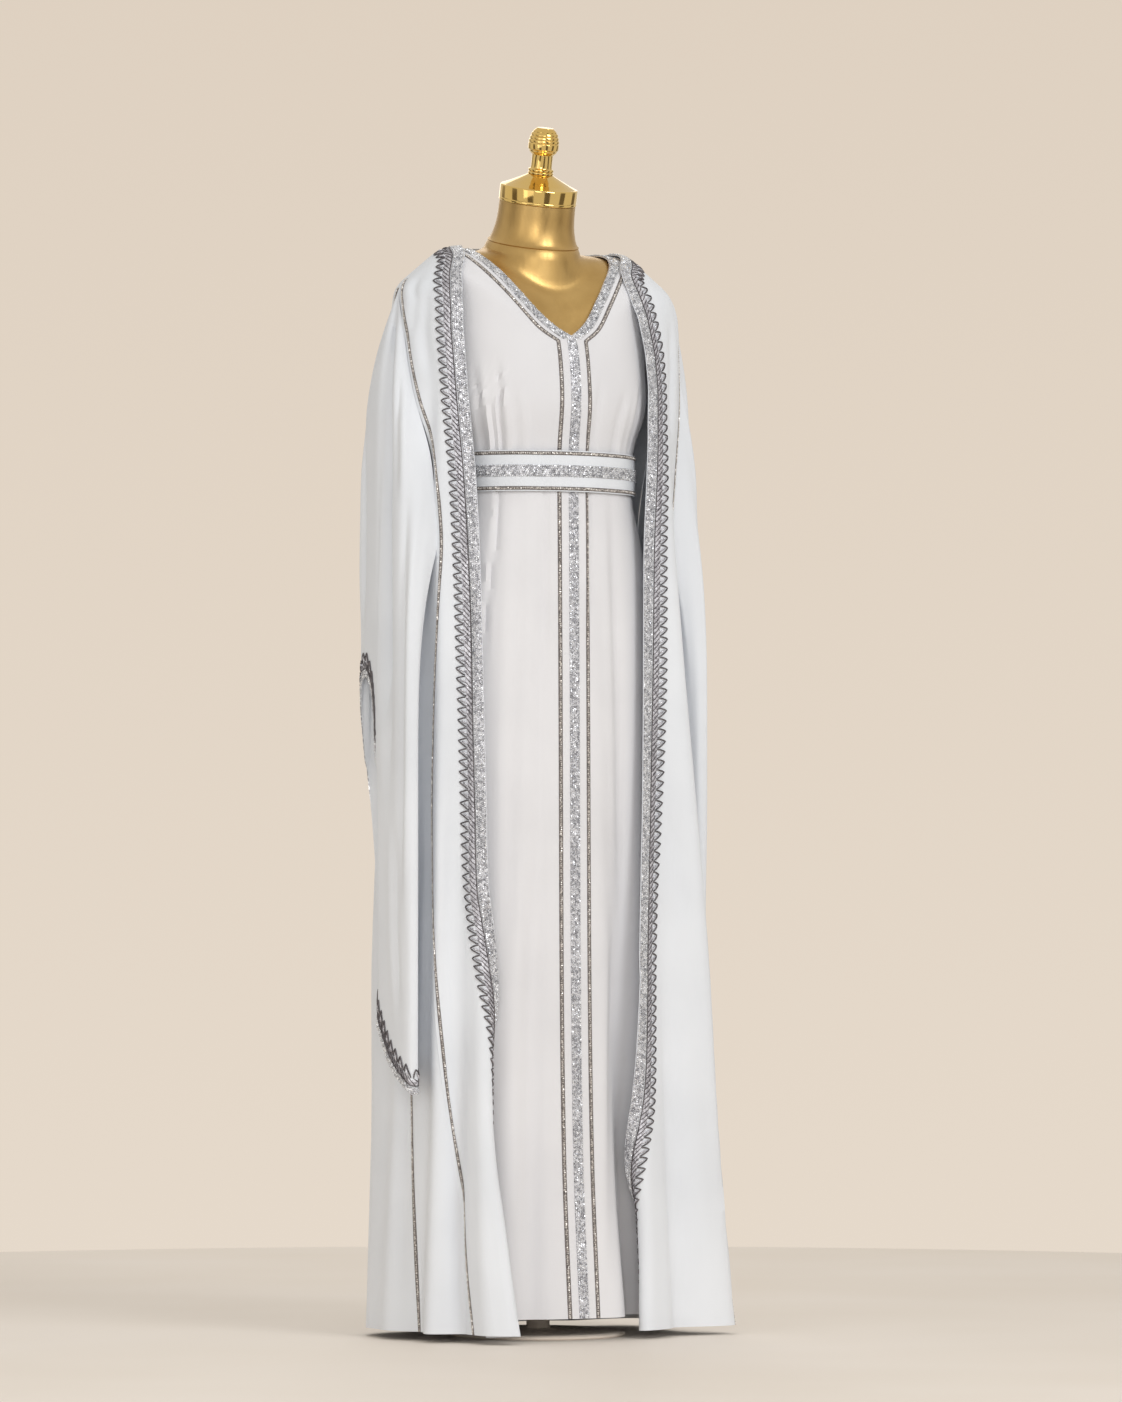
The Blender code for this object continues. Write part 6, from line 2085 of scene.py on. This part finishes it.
    def build(self, finishes: Finishes) -> None:
        """Make the form's pieces."""
        make_piece(TORSO_SKIN, self.torso(), finishes["gold"], ("form_torso",), 40.0)
        axis, up = unit(np.array(self.NECK_LEAN)), np.array([0.0, 0.0, 1.0])
        cap = np.array(self.NECK_FOOT) + axis * (self.NECK_HEIGHT + SEAM_GAP)
        knob = cap + axis * (self.CAP_HEIGHT + SEAM_GAP)
        foot = np.array([0.0, 0.0, self.BASE_HEIGHT + SEAM_GAP])
        height = self.BOTTOM - SEAM_GAP - foot[2]
        pole = Profile(tuple((self.POLE_RADIUS, height * share) for share in (0.0, 0.5, 1.0)))
        brass = (finishes["brass"], "polished_brass", 25.0)
        steel = (finishes["steel"], "cream_steel", 30.0)
        turned = (
            ("form_cap_turned", "form_neck_cap", self.CAP, cap, axis, 144, brass),
            ("form_knob_turned", "form_finial", self.FINIAL, knob, axis, 96, brass),
            ("form_base_turned", "form_base", self.BASE, np.zeros(3), up, 128, steel),
            ("form_pole_turned", "form_pole", pole, foot, up, 64, steel),
        )
        for name, node, profile, start, way, sides, (finish, slot, smooth) in turned:
            make_piece(name, lathed(profile, start, way, sides), finish, (node,), smooth)


@dataclass(frozen=True)
class Lamp:
    """A soft square lamp aimed at a point of the object."""

    name: str
    place: tuple[float, float, float]
    size: float
    power: float
    colour: tuple[float, float, float]


class Studio:
    """The floor, the soft light, the backdrop with its painted shade and the camera."""

    LAMPS = (
        Lamp("key light", (0.9, -4.6, 3.3), 1.9, 84.0, (0.97, 0.985, 1.0)),
        Lamp("front light", (-3.6, -7.2, 1.9), 2.4, 78.0, (1.0, 0.99, 0.97)),
        Lamp("fill light", (-4.6, -3.0, 1.6), 3.0, 28.0, (0.99, 0.99, 1.0)),
        Lamp("back light", (1.6, 4.2, 3.0), 2.6, 24.0, (1.0, 0.97, 0.94)),
    )
    AIM = (0.0, 0.0, 0.95)
    FLOOR_RADIUS = 2.30
    FLOOR_THICKNESS = 0.02
    AZIMUTH = math.radians(-27.0)
    DISTANCE = 9.0
    EYE_HEIGHT = 0.60
    PITCH = math.radians(1.741)
    AIM_ASIDE = math.radians(0.2022)
    FOCAL_PIXELS = 6516
    FRAME_HEIGHT = 1402
    SENSOR = 36.0

    def camera(self) -> None:
        """The camera at the photograph's angle."""
        data = bpy.data.cameras.new("camera")
        camera = bpy.data.objects.new("camera", data)
        bpy.context.scene.collection.objects.link(camera)
        bpy.context.scene.camera = camera
        out = (math.sin(self.AZIMUTH), -math.cos(self.AZIMUTH))
        camera.location = (self.DISTANCE * out[0], self.DISTANCE * out[1], self.EYE_HEIGHT)
        camera.rotation_euler = (math.pi / 2 + self.PITCH, 0.0, self.AZIMUTH - self.AIM_ASIDE)
        data.sensor_width = self.SENSOR
        data.lens = self.FOCAL_PIXELS / self.FRAME_HEIGHT * self.SENSOR

    def lights(self) -> None:
        """The soft lamps."""
        for lamp in self.LAMPS:
            data = bpy.data.lights.new(lamp.name, "AREA")
            data.energy, data.size, data.color = lamp.power, lamp.size, lamp.colour
            made = bpy.data.objects.new(lamp.name, data)
            way = Vector(self.AIM) - Vector(lamp.place)
            made.location = lamp.place
            made.rotation_euler = way.to_track_quat("-Z", "Y").to_euler()
            bpy.context.scene.collection.objects.link(made)

    def floor(self) -> None:
        """A round pale floor."""
        edge = Profile((
            (self.FLOOR_RADIUS, 0.0), (self.FLOOR_RADIUS, self.FLOOR_THICKNESS),
            (0.5, self.FLOOR_THICKNESS), (0.2, self.FLOOR_THICKNESS),
        ), rounding=0.006)
        foot = np.array([0.0, 0.0, -self.FLOOR_THICKNESS])
        shape = lathed(edge, foot, np.array([0.0, 0.0, 1.0]), 256)
        finish = Finish("pale floor", Roughness=0.55)
        tone = finish.ranged(finish.noise(finish.place(), 1.5), 0.35, 0.65, 0.0, 1.0)
        finish.feed("Base Color", finish.mixed(tone, (0.80, 0.725, 0.645), (0.83, 0.76, 0.69)))
        made = new_object("floor", shape, finish.material)

    def backdrop(self) -> None:
        """A warm backdrop that darkens upwards as painted shade, and an even room with some darker panels for
        gloss.
        """
        world = bpy.data.worlds.new("world")
        world.use_nodes = True
        bpy.context.scene.world = world
        room = NodeSet(world.node_tree)
        way = room.node("ShaderNodeSeparateXYZ", Vector=room.place("Generated")).outputs
        around = room.sum("ARCTAN2", way[1], way[0])
        wave = room.sum("SINE", room.sum("MULTIPLY", around, 7.0), 0.0)
        panels = room.ranged(wave, 0.35, 0.6, 0.0, 1.0)
        low = room.ranged(way[2], -0.05, 0.5, 1.0, 0.0)
        share = room.sum("MULTIPLY", panels, low)
        # The backdrop seen by the camera darkens from low to high: painted shade of the wall.
        seen = room.mixed(room.ranged(way[2], -0.1, 0.2, 0.0, 1.0), (0.80, 0.71, 0.61), (0.72, 0.62, 0.515))
        lit = room.mixed(share, (0.68, 0.65, 0.60), (0.15, 0.13, 0.11))
        eye = room.node("ShaderNodeLightPath").outputs["Is Camera Ray"]
        colour = room.node("ShaderNodeMix", data_type="RGBA", i0=eye, i6=lit, i7=seen).outputs[2]
        room.tree.links.new(colour, room.tree.nodes["Background"].inputs["Color"])

    def build(self) -> None:
        """Make the stage."""
        self.lights()
        self.floor()
        self.backdrop()
        bpy.context.scene.view_settings.view_transform = "Standard"


def main() -> None:
    """Build every piece, the stage, the light and the camera."""
    logging.basicConfig(level=logging.INFO, format="%(message)s")
    studio = Studio()
    studio.camera()
    finishes = make_finishes()
    sewing = Sewing(finishes)
    dress = Layer(DRESS_RINGS, DRESS_FOLDS, DRESS_CREASES, creased_radius=0.14)
    robe = Layer(ROBE_RINGS, ROBE_FOLDS, ROBE_CREASES, (RIGHT_EDGES, LEFT_EDGES))
    DressForm(dress).build(finishes)
    DressPart(dress).build(sewing)
    BeltPart(dress).build(sewing)
    RobePart(robe).build(sewing)
    for side in Side:
        SleevePart(robe, side).build(sewing)
    studio.build()
    log.info("everything is built")


if __name__ == "__main__":
    main()
